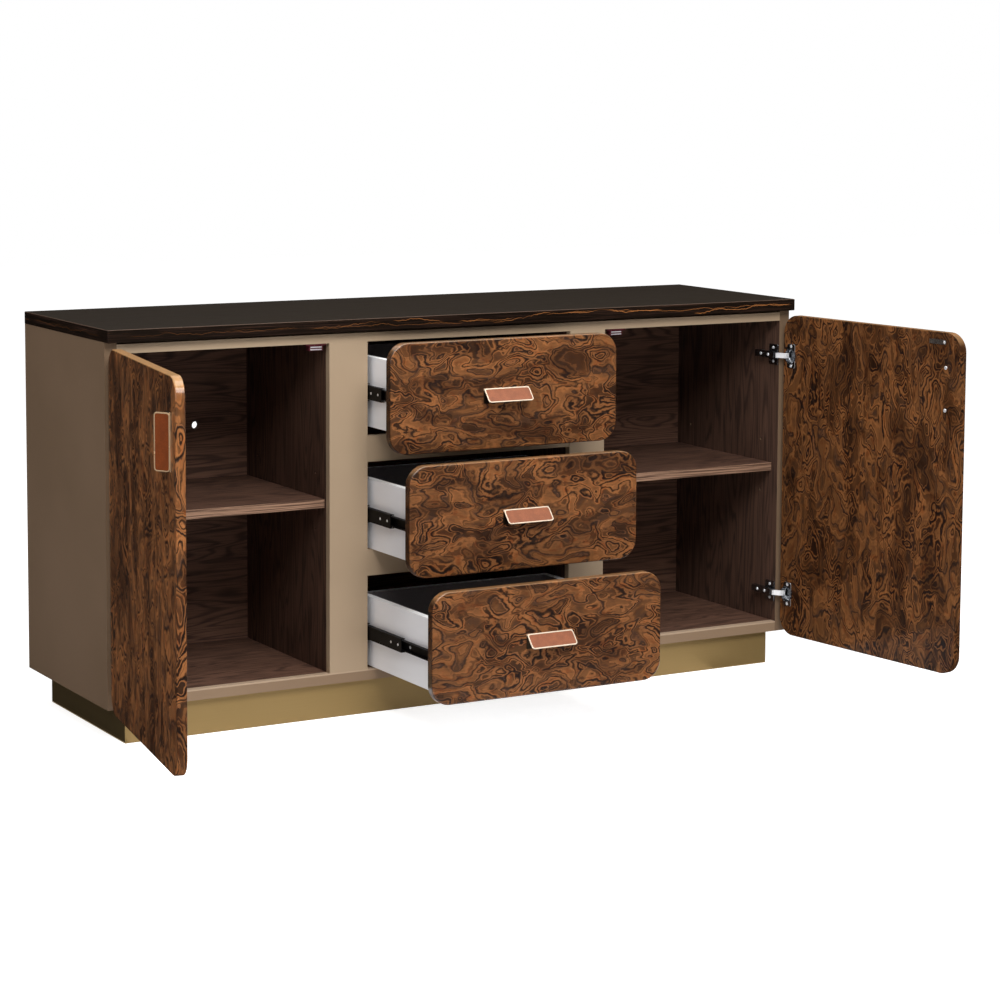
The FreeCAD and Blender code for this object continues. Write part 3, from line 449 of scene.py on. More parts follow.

# %% [markdown]
# The boards inside are a dark walnut laminate. Its grain is a noise drawn out along the board and cut into
# rings, with fine pores over it. The copies for the floor and ceiling, the back and the shelves are lighter
# than the one for the upright walls, as painted light. The front edges of the shelves have a paler striped
# band, and which way the surface looks tells where that is.

# %% Walnut laminate
def walnut(finish, along, light=1.0, deep=0.5):
    """The colour, roughness and bump of the laminate: its grain's axis, how light and how deep its pores."""
    stretch = [20, 20, 20]
    stretch[along] = 1.9
    spot = finish.place(stretch)
    sway = finish.noise(spot, 0.5, 2.0, 0.5, 0.0, "Color")
    rings = finish.noise(finish.drift(spot, sway, 1.1), 1.0, 1.5, 0.45)
    lines = 1 - (rings * 17).fold(0.5).rise(0.03, 0.30)
    fine = [340, 340, 340]
    fine[along] = 9
    pores = finish.noise(finish.place(fine), 1.0, 3.0, 0.6)
    streaks = finish.noise(finish.place([step * 3 for step in stretch]), 1.0, 3.0, 0.6)

    def shade(*parts):
        return tone(*(part * light for part in parts))

    wood = finish.mix(streaks, shade(74, 53, 43), shade(98, 71, 57))
    lined = finish.mix(lines * 0.72, wood, shade(46, 32, 26))
    streaked = finish.mix(pores.rise(0.46, 0.66) * deep, lined, shade(42, 29, 24))
    return streaked, 0.52 + pores * 0.15, finish.bump(pores, 0.18, 0.0004)


def laminate(name, along, light=1.0, banded=False, deep=0.5):
    finish = Finish(name)
    colour, rough, relief = walnut(finish, along, light, deep)
    if banded:
        stripes = finish.noise(finish.place((6, 6, 620)), 1.0, 1.5, 0.5).rise(0.42, 0.58)
        band = finish.mix(stripes, tone(84, 61, 48), tone(156, 122, 99))
        colour = finish.mix((finish.facing()[1] < -0.7), colour, band)
    return finish.coat({"Base Color": colour, "Roughness": rough, "Specular IOR Level": 0.2,
                        "Normal": relief})


upright_laminate = laminate("walnut_laminate_upright", 2)
# Painted light: the floor and ceiling, back and shelf copies are lighter than the upright copy.
level_laminate_lit = laminate("walnut_laminate_level_lit", 0, 1.22, deep=0.85)
back_laminate_lit = laminate("walnut_laminate_back_lit", 0, 1.28)
shelf_laminate_lit = laminate("walnut_laminate_shelf_lit", 0, 1.15, True, 0.85)

# %% [markdown]
# The case is sprayed in a satin taupe lacquer. Such a coat is even, but never a single flat colour: it has a
# faint cloudiness and the fine orange peel of the spray. The bottom rail takes a darker copy, as painted
# shade, with a painted highlight along its upper arris. The outer faces of the two sides take a darker copy
# too, as painted shade, and their inner faces are laminate, so their finish takes both and chooses by
# direction.

# %% Taupe lacquer
def lacquer(name, dim, bright, lined=False, arris_highlight_height=None):
    """Lined boards are laminate on the side that looks inwards; the last argument is the height of a painted
    highlight along the upper arris.
    """
    finish = Finish(name)
    cloud = finish.noise(finish.place(), 3.5, 3.0, 0.55)
    peel = finish.noise(finish.place(), 900.0, 1.0)
    colour = finish.mix(cloud.rise(0.3, 0.7), dim, bright)
    rough = 0.42 + cloud * 0.10
    relief = finish.bump(peel, 0.05, 0.0002)
    if lined:
        x = finish.parts(finish.place())[0]
        inward = (x * finish.facing()[0]) < -0.3
        wood, wood_rough, _ = walnut(finish, 2)
        colour = finish.mix(inward, colour, wood)
        rough = rough + (wood_rough - rough) * inward
    if arris_highlight_height:
        # Painted highlight: a pale line just under the given height, along the upper arris.
        z = finish.parts(finish.place())[2]
        colour = finish.mix(z.rise(arris_highlight_height - 3.5 * MM, arris_highlight_height - 2.5 * MM), colour, tone(176, 152, 128))
    return finish.coat({"Base Color": colour, "Roughness": rough, "Specular IOR Level": 0.3,
                        "Normal": relief})


taupe = lacquer("taupe_lacquer", tone(164, 142, 117), tone(170, 148, 122))
# Painted shade: the bottom rail takes a darker copy of the same lacquer.
taupe_low_shaded = lacquer("taupe_lacquer_low_shaded", tone(134, 110, 87), tone(140, 116, 92),
                    arris_highlight_height=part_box("bottom_rail")[1].z)
# Painted shade: the side panels take a darker copy of the lacquer, standing in for the shade on the sides.
lined_taupe_shaded = lacquer("taupe_lacquer_lined_shaded", tone(109, 88, 68), tone(115, 93, 73), True)

# %% [markdown]
# The plinth is brass, brushed along its length. Long thin streaks change how rough it is and tilt the
# surface a very little, which stretches the reflections across the brushing. Its front and back are satin, so
# they count as less of a metal than its ends. The pulls, hinges and screws are polished metal with a faint
# smear, and the runners and catches are painted or moulded.

# %% Metals
def brushed(name, along, bright, dim, rough):
    finish = Finish(name)
    stretch = [900, 900, 900]
    stretch[along] = 6
    streaks = finish.noise(finish.place(stretch), 1.0, 2.0, 0.6)
    cloud = finish.noise(finish.place(), 5.0, 2.0)
    front = abs(finish.facing()[1]).rise(0.6, 0.8)
    colour = finish.mix(streaks * 0.6 + cloud * 0.4, dim, bright)
    return finish.coat({
        "Base Color": finish.mix(front * 0.65, colour, tone(147, 121, 74)), "Metallic": 0.85 - front * 0.50,
        "Specular IOR Level": 0.2,
        "Roughness": rough + (streaks - 0.5) * 0.16, "Normal": finish.bump(streaks, 0.06, 0.0002)})


def polished(name, colour, rough, metal=1.0):
    finish = Finish(name)
    smear = finish.noise(finish.place(), 60.0, 3.0)
    wear_and_highlight = finish.noise(finish.place(), 400.0, 2.0)
    darker = tuple(c * 0.82 for c in colour[:3]) + (1.0,)
    return finish.coat({
        "Base Color": finish.mix(smear.rise(0.4, 0.75), colour, darker), "Metallic": metal,
        "Roughness": rough + smear * 0.08, "Normal": finish.bump(wear_and_highlight, 0.02, 0.0001)})


def painted(name, colour, paler, rough):
    finish = Finish(name)
    cloud = finish.noise(finish.place(), 45.0, 3.0, 0.6)
    peel = finish.noise(finish.place(), 700.0, 1.0)
    return finish.coat({
        "Base Color": finish.mix(cloud, colour, paler), "Roughness": rough + cloud * 0.15,
        "Specular IOR Level": 0.08, "Normal": finish.bump(peel, 0.08, 0.0002)})


brass = brushed("brushed_brass", 0, tone(160, 138, 98), tone(124, 102, 66), 0.40)
champagne = polished("champagne_metal", tone(244, 222, 196), 0.22, 0.55)
# Painted shade: the door pulls take a darker copy of the champagne metal, standing in for the shade they sit in.
champagne_door_shaded = polished("champagne_metal_door_shaded", tone(226, 190, 150), 0.22, 0.62)
# Painted shade: a dark copy of the champagne metal for the plate under each flap and the foot behind it.
shaded_metal = polished("shaded_champagne", tone(92, 80, 66), 0.34)
chrome = polished("chrome", tone(244, 244, 246), 0.28, 0.45)
dark_chrome = polished("dark_chrome", tone(150, 152, 156), 0.22)
zinc = polished("zinc_steel", tone(236, 236, 238), 0.30, 0.6)
black_steel = painted("black_steel", tone(9, 8, 8), tone(20, 19, 19), 0.42)
catch_plastic = painted("catch_plastic", tone(64, 24, 30), tone(82, 36, 42), 0.5)

# %% [markdown]
# The drawer boxes are boards with a nearly white foil outside, white edges on top and a dark grey lining.
# One finish serves sides, ends and bottom: what looks up near the rim is edge, what looks into the box is
# lining and the rest is foil.

# %% Drawer boards
def drawer_board(name, inner):
    """The inner rule turns place and direction into 1 on the lining and 0 elsewhere."""
    finish = Finish(name)
    lining = inner(finish.parts(finish.place()), finish.facing())
    rim = finish.facing()[2].rise(0.4, 0.6)
    cloud = finish.noise(finish.place((6, 1.2, 6)), 8.0, 3.0)
    foil = finish.mix(cloud, tone(240, 241, 245), tone(248, 249, 252))
    weave = finish.noise(finish.place((420, 420, 420)), 1.0, 2.0, 0.6)
    inside = finish.mix(weave, tone(92, 88, 88), tone(120, 116, 116))
    return finish.coat({
        "Base Color": finish.mix(lining, finish.mix(rim, foil, tone(250, 250, 250)), inside),
        "Roughness": 0.48 + cloud * 0.1, "Specular IOR Level": 0.3,
        "Normal": finish.bump(weave, 0.05, 0.0002)})


side_board = drawer_board("drawer_side_board", lambda at, way: (at[0] * way[0]) < -0.05)
end_board = drawer_board("drawer_end_board", lambda at, way: abs(way[1]).rise(0.4, 0.6))
base_board = drawer_board("drawer_bottom_board", lambda at, way: way[2].rise(0.4, 0.6))

# %% [markdown]
# The pulls hold pads of tan leather. Close up, leather is a field of small pebbles with finer creases over
# them: cells make the pebbles, a noise the creases, and both lift the surface a little.

# %% Leather
def leather(name, light, shine):
    """Tan leather of a given tone and shine."""
    finish = Finish(name)
    spot = finish.place()
    pebbles = finish.cells(spot, 900.0)
    creases = finish.noise(spot, 350.0, 3.0, 0.6)
    cloud = finish.noise(spot, 60.0, 3.0, 0.55)
    colour = finish.mix(cloud.rise(0.3, 0.7), tone(*(part * 0.9 for part in light)), tone(*light))
    wear_and_highlight = finish.mix(pebbles.rise(0.35, 0.75) * 0.35, colour, tone(*(part * 0.7 for part in light)))
    return finish.coat({
        "Base Color": wear_and_highlight, "Roughness": 0.46 + creases * 0.14, "Specular IOR Level": shine,
        "Normal": finish.bump(pebbles + creases * 0.6, 0.22, 0.0004)})


tan = leather("tan_leather", (150, 88, 58), 0.35)
# Painted shade: the door pads take a darker, deeper copy of the same leather, standing in for the shade they sit
# in.
tan_shaded = leather("tan_leather_shaded", (114, 53, 19), 0.10)

# %% [markdown]
# Each solid gets its finish by what it is. The pieces that are replaced further on get theirs as they are
# made.

# %% Dress the solids
def dress(finish, *names):
    for name in names:
        solid = nodes[name].data
        solid.materials.clear()
        solid.materials.append(finish.material)


WORDS = ("upper", "middle", "lower")
SIDES = {"left": -1, "right": 1}
dress(top_finish, "top_slab")
dress(lined_taupe_shaded, "left_side_panel", "right_side_panel")
dress(taupe, "top_rail", "front_stiles", "drawer_divider_rails")
dress(taupe_low_shaded, "bottom_rail")
dress(upright_laminate, "cupboard_walls", "drawer_bay_walls")
dress(level_laminate_lit, "case_floor", "case_ceiling")
dress(back_laminate_lit, "back_panel")
dress(shelf_laminate_lit, "left_shelf", "right_shelf")
dress(brass, "plinth_long_rails", "plinth_cross_rails")
dress(catch_plastic, "magnet_catches")
dress(dark_chrome, "hinge_arms", "hinge_plates")
dress(zinc, "shelf_supports")
dress(black_steel, "outer_runners")
for word in SIDES:
    dress(burl_left_door_lit if word == "left" else burl_right_door_shaded, f"{word}_door_panel")
    dress(dark_chrome, f"{word}_door_hinge_cups")
    dress(chrome, f"{word}_hinge_links")
    dress(zinc, f"{word}_door_handle_screws")
    dress(dark_chrome, f"{word}_door_strike_plate")
    dress(champagne_door_shaded, f"{word}_door_handle")
    dress(tan_shaded, f"{word}_door_leather")
for word in WORDS:
    dress(burl_along, f"{word}_drawer_front")
    dress(side_board, f"{word}_drawer_box_sides")
    dress(end_board, f"{word}_drawer_box_ends")
    dress(base_board, f"{word}_drawer_box_bottom")
    dress(champagne, f"{word}_drawer_handle")
    dress(tan, f"{word}_drawer_leather")
    dress(black_steel, f"{word}_drawer_inner_runners", f"{word}_drawer_middle_runners")
print("dressed", sum(bool(item.data.materials) for item in nodes.values()), "solids")

# %% [markdown]
# The doors and drawer fronts have rounded corners and soft edges that catch a thin bright line. A plain
# block gets both from two bevels: a wide one on the four corners and a narrow one round each face. Each new
# piece sits where its solid is, rides on the same body and hides the solid. The drawer fronts come first.

# %% Drawer fronts
PANEL = {"thick": 18 * MM, "corner": 40 * MM, "outer": 3.4 * MM, "inner": 1.2 * MM}


def finished(name, shape, finish, body, hides=None, second=None):
    """Turns a bmesh into a piece that rides on a body and may take the place of a solid."""
    bmesh.ops.recalc_face_normals(shape, faces=shape.faces)
    for face in shape.faces:
        face.smooth = True
    mesh = bpy.data.meshes.new(name)
    shape.to_mesh(mesh)
    shape.free()
    mesh.set_sharp_from_angle(angle=math.radians(40))
    mesh.materials.append(finish.material)
    if second:
        mesh.materials.append(second.material)
    piece = bpy.data.objects.new(name, mesh)
    scene.collection.objects.link(piece)
    even = piece.modifiers.new("even_shading", "WEIGHTED_NORMAL")
    even.keep_sharp = True
    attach(piece, body)
    print(name, len(mesh.polygons), "faces")
    if hides:
        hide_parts(hides)
        gap = max((a - b).length for a, b in zip(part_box(hides), box_of(piece)))
        print("  its corners lie", round(gap / MM, 2), "mm from those of", hides)


def box_of(piece):
    spots = [vertex.co for vertex in piece.data.vertices]
    return [Vector([pick(spot[axis] for spot in spots) for axis in range(3)]) for pick in (min, max)]


def eased(shape, edges, width, steps):
    """Rounds some edges."""
    bmesh.ops.bevel(shape, geom=edges, offset=width, offset_type="OFFSET", affect="EDGES", segments=steps,
                    profile=0.5, material=-1, clamp_overlap=True)


def board(wide, thick, tall, corner, rims, steps=12):
    """A board round the origin that looks along -Y, with its corners and the rims of both faces rounded."""
    shape = bmesh.new()
    bmesh.ops.create_cube(shape, size=1)
    bmesh.ops.scale(shape, vec=(wide, thick, tall), verts=shape.verts)
    eased(shape, [edge for edge in shape.edges if abs(edge.verts[0].co.y - edge.verts[1].co.y) > thick / 2],
          corner, steps)
    for face, width in ((-thick / 2, rims[0]), (thick / 2, rims[1])):
        rim = [edge for edge in shape.edges if all(abs(vertex.co.y - face) < 1e-6 for vertex in edge.verts)]
        eased(shape, rim, width, 4)
    return shape


rims = (PANEL["outer"], PANEL["inner"])
for word in WORDS:
    low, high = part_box(f"{word}_drawer_front")
    shape = board(high.x - low.x, PANEL["thick"], high.z - low.z, PANEL["corner"], rims)
    bmesh.ops.translate(shape, vec=(low + high) / 2, verts=shape.verts)
    finished(f"{word}_front_board", shape, burl_along, f"{word}_drawer",
             f"{word}_drawer_front")

# %% [markdown]
# A door is the same kind of board, with two round bores for its hinge cups. A boolean cuts them, because a
# bore that ends inside a board would be slow to build face by face. The door is made as if closed, with the
# pins of its cups on the Z axis, and then turned as far as it stands open, which the joints of the frame say.

# %% Doors
DOOR = {"wide": 533 * MM, "low": 70 * MM, "high": 776.5 * MM, "pin_edge": 8.35 * MM, "pin_depth": 4.73 * MM}
CUP = {"middle": 21.5 * MM, "radius": 17.6 * MM, "depth": 11.6 * MM, "heights": (160 * MM, 686.5 * MM)}


def door_frame(word):
    """The place of a door: the line of its cup pins, turned by how far the door stands open."""
    swing = next(joint for joint in frame["joints"] if joint["name"] == f"{word}_door_swing")
    couplings = frame["record"]["behaviour"]["couplings"]
    link = next(pair for pair in couplings if pair["joint"] == f"{word}_link_swing")
    open_by = -swing["range_deg"][0] * (1 + link["ratio"])
    pins = Vector((swing["pos_m"][0], swing["pos_m"][1], 0))
    return Matrix.Translation(pins) @ Matrix.Rotation(math.radians(SIDES[word] * open_by), 4, "Z")


def bored(shape, bores):
    """Cuts round holes into a shape; each bore is a place, a radius and a depth along Y."""
    blank = bpy.data.objects.new("blank", bpy.data.meshes.new("blank"))
    shape.to_mesh(blank.data)
    shape.free()
    scene.collection.objects.link(blank)
    drills = []
    for spot, radius, depth in bores:
        tool = bmesh.new()
        lying = Matrix.Translation(spot) @ Matrix.Rotation(math.radians(90), 4, "X")
        bmesh.ops.create_cone(tool, cap_ends=True, segments=48, radius1=radius, radius2=radius,
                              depth=2 * depth, matrix=lying)
        drill = bpy.data.objects.new("drill", bpy.data.meshes.new("drill"))
        tool.to_mesh(drill.data)
        tool.free()
        scene.collection.objects.link(drill)
        drills.append(drill)
        cut = blank.modifiers.new("bore", "BOOLEAN")
        cut.operation = "DIFFERENCE"
        cut.solver = "EXACT"
        cut.object = drill
    ready = bpy.data.meshes.new_from_object(blank.evaluated_get(bpy.context.evaluated_depsgraph_get()))
    cut_shape = bmesh.new()
    cut_shape.from_mesh(ready)
    for spare in [blank] + drills:
        bpy.data.objects.remove(spare)
    bpy.data.meshes.remove(ready)
    return cut_shape


for word, side in SIDES.items():
    shape = board(DOOR["wide"], PANEL["thick"], DOOR["high"] - DOOR["low"], PANEL["corner"], rims)
    middle = Vector((side * (DOOR["pin_edge"] - DOOR["wide"] / 2), DOOR["pin_depth"] - PANEL["thick"] / 2,
                     (DOOR["low"] + DOOR["high"]) / 2))
    bmesh.ops.translate(shape, vec=middle, verts=shape.verts)
    shape = bored(shape, [(Vector((side * (DOOR["pin_edge"] - CUP["middle"]), DOOR["pin_depth"], height)),
                           CUP["radius"], CUP["depth"]) for height in CUP["heights"]])
    bmesh.ops.transform(shape, matrix=door_frame(word), verts=shape.verts)
    finished(f"{word}_door_board", shape, burl_left_door_lit if word == "left" else burl_right_door_shaded, f"{word}_door",
             f"{word}_door_panel")

# %% [markdown]
# Each pull is a strip of champagne metal folded back on itself: a foot lies on the front and a flap leans
# away from it, so that fingertips fit behind. The flap is a thin bright frame on a plate, with a leather pad
# let into it. The plate under the flap and the foot behind the bead at the fold take a darker copy of the
# metal, as painted shade. The frame is a beveled block whose top face is inset and pushed down, and the
# plate, the foot and the pad are plainer blocks of the same kind.

# %% Pulls
PULL = {"long": 104 * MM, "flap": 34 * MM, "thick": 2.6 * MM, "tilt": math.radians(41), "foot": 30 * MM,
        "foot_thick": 2.0 * MM, "bead": 4.5 * MM, "corner": 6.5 * MM, "frame": 1.5 * MM, "rim": 2.4 * MM,
        "tray": 1.0 * MM, "pad": 0.9 * MM, "play": 0.15 * MM, "soft": 0.4 * MM, "inset": 0.5 * MM,
        "overlap": 0.05 * MM, "above_middle": 12 * MM, "from_edge": 33 * MM, "door_height": 660 * MM}


def strip(long, start, end, low, high, corner, soft):
    """A strip along X between two places on Y and Z, with rounded corners and softened rims."""
    shape = board(long, high - low, end - start, corner, (soft, soft), 6)
    lying = Matrix.Rotation(math.radians(-90), 3, "X")
    bmesh.ops.rotate(shape, cent=(0, 0, 0), matrix=lying, verts=shape.verts)
    bmesh.ops.translate(shape, vec=(0, (start + end) / 2, (low + high) / 2), verts=shape.verts)
    return shape


def join(shape, other, index):
    """Adds a second bmesh to the first, all of it in one material or, without an index, as it is."""
    for face in other.faces if index is not None else ():
        face.material_index = index
    scrap = bpy.data.meshes.new("scrap")
    other.to_mesh(scrap)
    other.free()
    shape.from_mesh(scrap)
    bpy.data.meshes.remove(scrap)


def pull(name, place, body, metal, hide):
    """One pull and its pad: frame, plate, foot and bead in one piece, and the leather in another."""
    long, flap, soft, inset = PULL["long"], PULL["flap"], PULL["soft"], PULL["inset"]
    lean = Matrix.Translation((0, 0, PULL["foot_thick"])) @ Matrix.Rotation(PULL["tilt"], 4, "X")
    shape = strip(long, 0, flap, -PULL["frame"], 0, PULL["corner"], soft)
    tray = max(shape.faces, key=lambda face: (round(face.normal.z, 2), face.calc_area()))
    bmesh.ops.inset_region(shape, faces=[tray], thickness=PULL["rim"] - soft, depth=0)
    pushed = bmesh.ops.extrude_discrete_faces(shape, faces=[tray])["faces"][0]
    bmesh.ops.translate(shape, vec=(0, 0, -PULL["tray"]), verts=pushed.verts)
    plate = strip(long - 2 * inset, inset, flap - inset, -PULL["thick"], PULL["overlap"] - PULL["frame"],
                  PULL["corner"] - inset, 0.3 * MM)
    join(shape, plate, 1)
    bmesh.ops.transform(shape, matrix=lean, verts=shape.verts)
    join(shape, strip(long, PULL["bead"], PULL["foot"], 0, PULL["foot_thick"], 1.0 * MM, soft), 1)
    join(shape, strip(long, 0, PULL["bead"], 0, PULL["foot_thick"], 0.6 * MM, soft), 0)
    bmesh.ops.transform(shape, matrix=place, verts=shape.verts)
    finished(f"{name}_pull", shape, metal, body, f"{name}_handle", shaded_metal)
    edge = PULL["rim"] + PULL["play"]
    pad = strip(long - 2 * edge, edge, flap - edge, -PULL["tray"], PULL["pad"] - PULL["tray"],
                PULL["corner"] - edge, soft)
    bmesh.ops.transform(pad, matrix=place @ lean, verts=pad.verts)
    finished(f"{name}_pad", pad, hide, body, f"{name}_leather")


def pull_frame(spot, along, outward):
    """X runs along the pull, Y from its folded edge over the front and Z away from the front."""
    along = Vector(along)
    outward = Vector(outward)
    return Matrix.Translation(spot) @ Matrix((along.cross(outward), along, outward)).transposed().to_4x4()


for word in WORDS:
    low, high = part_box(f"{word}_drawer_front")
    edge = Vector((0, low.y, (low.z + high.z) / 2 + PULL["above_middle"]))
    pull(f"{word}_drawer", pull_frame(edge, (0, 0, -1), (0, -1, 0)), f"{word}_drawer", champagne, tan)
for word, side in SIDES.items():
    edge = Vector((side * (DOOR["pin_edge"] - DOOR["wide"] + PULL["from_edge"]),
                   DOOR["pin_depth"] - PANEL["thick"], PULL["door_height"]))
    placed = door_frame(word) @ pull_frame(edge, (side, 0, 0), (0, -1, 0))
    pull(f"{word}_door", placed, f"{word}_door", champagne_door_shaded, tan_shaded)

# %% [markdown]
# The top is one thick board, sharp at a distance but softened by hand along every arris. The strip maker of
# the pulls serves here too: it rounds the four corners and both rims, and the rounded rim takes the painted
# highlight of the finish.

# %% Top board
TOP = {"corner": 2 * MM, "arris": 1.5 * MM}

low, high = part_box("top_slab")
shape = strip(high.x - low.x, low.y, high.y, low.z, high.z, TOP["corner"], TOP["arris"])
finished("top_board", shape, top_finish, "case", "top_slab")

# %% [markdown]
# The hinges are the bright small things in the dark cupboards. Each has a cup pressed into the door, with a
# flat lip and two screws. A cup is turned like a bowl, so its wall is drawn once as a line and spun round.
# The lip is a thin board with a round hole, and a short rod is the pin that the door turns on.

# %% Hinge cups
EAR = {"wide": 24 * MM, "tall": 53 * MM, "thick": 1.0 * MM, "shift": 2.5 * MM, "corner": 5 * MM,
       "rims": (0.1 * MM, 0.4 * MM), "hole": 17.4 * MM, "cut": 5 * MM}
BOWL = {"radius": 17.5 * MM, "depth": 11.5 * MM, "wall": 0.8 * MM, "lip": 0.9 * MM, "round": 1.2 * MM}
PIN = {"radius": 1.3 * MM, "long": 19.3 * MM}


def bowl():
    """A round cup that opens along +Y, its rim at the lip."""
    shape = bmesh.new()
    outer, lip, under = BOWL["radius"], BOWL["lip"], -BOWL["depth"]
    inner, bottom = outer - BOWL["wall"], under + BOWL["wall"]
    line = ((0, bottom), (inner - BOWL["round"], bottom), (inner, bottom + BOWL["round"]), (inner, lip),
            (outer, lip), (outer, under), (0, under))
    spots = [shape.verts.new((out, deep, 0)) for out, deep in line]
    edges = [shape.edges.new(pair) for pair in zip(spots, spots[1:])]
    bmesh.ops.spin(shape, geom=spots + edges, cent=(0, 0, 0), axis=(0, 1, 0), angle=math.radians(360),
                   steps=40, use_merge=True)
    bmesh.ops.remove_doubles(shape, verts=shape.verts, dist=1e-6)
    return shape


def rod(radius, long):
    """A short round bar along Z with soft ends."""
    shape = bmesh.new()
    bmesh.ops.create_cone(shape, cap_ends=True, segments=20, radius1=radius, radius2=radius, depth=long)
    eased(shape, [edge for edge in shape.edges if abs(edge.verts[0].co.z - edge.verts[1].co.z) < 1e-7],
          radius * 0.25, 2)
    return shape


def moved(shape, matrix):
    bmesh.ops.transform(shape, matrix=matrix, verts=shape.verts)
    return shape


for word, side in SIDES.items():
    shape = bmesh.new()
    for height in CUP["heights"]:
        middle = Vector((side * (DOOR["pin_edge"] - CUP["middle"]), DOOR["pin_depth"], height))
        lip = board(EAR["wide"], EAR["thick"], EAR["tall"], EAR["corner"], EAR["rims"], 6)
        moved(lip, Matrix.Translation(middle + Vector((-side * EAR["shift"], EAR["thick"] / 2, 0))))
        lip = bored(lip, [(middle, EAR["hole"], EAR["cut"])])
        lip.normal_update()
        for face in lip.faces:
            face.material_index = int(abs(face.normal.y) < 0.5)
        join(shape, lip, None)
        join(shape, moved(bowl(), Matrix.Translation(middle)), 0)
        join(shape, moved(rod(PIN["radius"], PIN["long"]), Matrix.Translation((0, 0, height))), 0)
    moved(shape, door_frame(word))
    finished(f"{word}_door_cups", shape, dark_chrome, f"{word}_door", f"{word}_door_hinge_cups",
             zinc)

# %% [markdown]
# On the side of the case each hinge has a mounting plate: a wing that is screwed on, with a ridge across it
# that carries the arm. Both are boards with soft rims, which is what catches the light.

# %% Mounting plates
FRONT = -207.5 * MM
SIDE_FACE = 774 * MM
WING = {"deep": 33 * MM, "thick": 2.5 * MM, "tall": 45 * MM, "back": 18 * MM, "corner": 3 * MM,
        "rims": (0.9 * MM, 0.1 * MM), "steps": 6}
RIDGE = {"deep": 60 * MM, "thick": 12.5 * MM, "tall": 11 * MM, "back": 34 * MM, "corner": 1 * MM,
         "rims": (0.5 * MM, 0.1 * MM), "steps": 3}

shape = bmesh.new()
for side in SIDES.values():
    turn = Matrix.Rotation(math.radians(-90 * side), 4, "Z")
    for height in CUP["heights"]:
        for form in (WING, RIDGE):
            plate = board(form["deep"], form["thick"], form["tall"], form["corner"], form["rims"],
                          form["steps"])
            seat = (side * (SIDE_FACE - form["thick"] / 2), FRONT + form["back"], height)
            join(shape, moved(plate, Matrix.Translation(seat) @ turn), 0)
finished("mounting_plates", shape, dark_chrome, "case", "hinge_plates")

# %% [markdown]
# A magnet catch hangs under the top rail on each side and holds the door's strike plate. It is a small
# plastic box with a flange for its screws, and the two pale bars on its front are the poles of the magnet.

# %% Magnet catches
CATCH = {"wide": 44 * MM, "flange": 3.5 * MM, "housing_wide": 30 * MM, "housing_tall": 11 * MM,
         "inset": 0.3 * MM, "pole_wide": 25 * MM, "pole_deep": 4 * MM, "pole_tall": 2.2 * MM,
         "pole_heights": (2.6 * MM, 7.4 * MM)}

low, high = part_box("magnet_catches")
deep = high.y - low.y
shape = bmesh.new()
for side in SIDES.values():
    middle = Vector((side * (high.x - CATCH["wide"] / 2), (low.y + high.y) / 2, 0))
    flange = board(CATCH["wide"], deep, CATCH["flange"], 0.8 * MM, (0.4 * MM, 0.4 * MM), 3)
    spot = middle + Vector((0, 0, high.z - CATCH["flange"] / 2))
    join(shape, moved(flange, Matrix.Translation(spot)), 0)
    housing = board(CATCH["housing_wide"], deep - 2 * CATCH["inset"], CATCH["housing_tall"], 1.2 * MM,
                    (0.5 * MM, 0.5 * MM), 4)
    spot = middle + Vector((0, CATCH["inset"], low.z + CATCH["housing_tall"] / 2))
    join(shape, moved(housing, Matrix.Translation(spot)), 0)
    for up in CATCH["pole_heights"]:
        pole = board(CATCH["pole_wide"], CATCH["pole_deep"], CATCH["pole_tall"], 0.4 * MM,
                     (0.3 * MM, 0.1 * MM), 2)
        spot = Vector((middle.x, low.y + CATCH["pole_deep"] / 2, low.z + up))
        join(shape, moved(pole, Matrix.Translation(spot)), 1)
finished("catches", shape, catch_plastic, "case", "magnet_catches", zinc)

# %% [markdown]
# Screws hold the hinges, strikes, pulls and runners. One small maker turns a short rod into a rounded head:
# the top face is inset, every fourth corner of the inset moves in while the others stay out, and the cross
# that is left is pushed down. Eight screws hold the mounting plates and arms of each side.

# %% Screws of the mounting plates
ARM_HEAD, ARM_FACE, ARM_BACKS = (3.6 * MM, 1.4 * MM), 14 * MM, (22 * MM, 49 * MM)
WING_HEAD, WING_UPS = (3.4 * MM, 1.6 * MM), (-15 * MM, 15 * MM)


def screw(radius, rise):
    """A head that stands on the origin and looks along +Z."""
    shape = bmesh.new()
    bmesh.ops.create_cone(shape, cap_ends=True, segments=16, radius1=radius, radius2=radius * 0.86,
                          depth=rise, matrix=Matrix.Translation((0, 0, rise / 2)))
    top = max(shape.faces, key=lambda face: face.calc_center_median().z)
    eased(shape, list(top.edges), rise * 0.35, 2)
    top = max(shape.faces, key=lambda face: (round(face.calc_center_median().z, 6), face.calc_area()))
    bmesh.ops.inset_region(shape, faces=[top], thickness=radius * 0.2, depth=0)
    for count, corner in enumerate(top.verts):
        if count % 4 == 2:
            corner.co.x *= 0.35
            corner.co.y *= 0.35
    pushed = bmesh.ops.extrude_discrete_faces(shape, faces=[top])["faces"][0]
    bmesh.ops.translate(shape, vec=(0, 0, -rise * 0.5), verts=pushed.verts)
    return shape


def standing(spot, way):
    """A place on a surface, with Z along the given way."""
    return Matrix.Translation(spot) @ Vector(way).to_track_quat("Z", "Y").to_matrix().to_4x4()


def drive(shape, head, place):
    """Adds one screw to a shape."""
    join(shape, moved(screw(*head), place), 0)


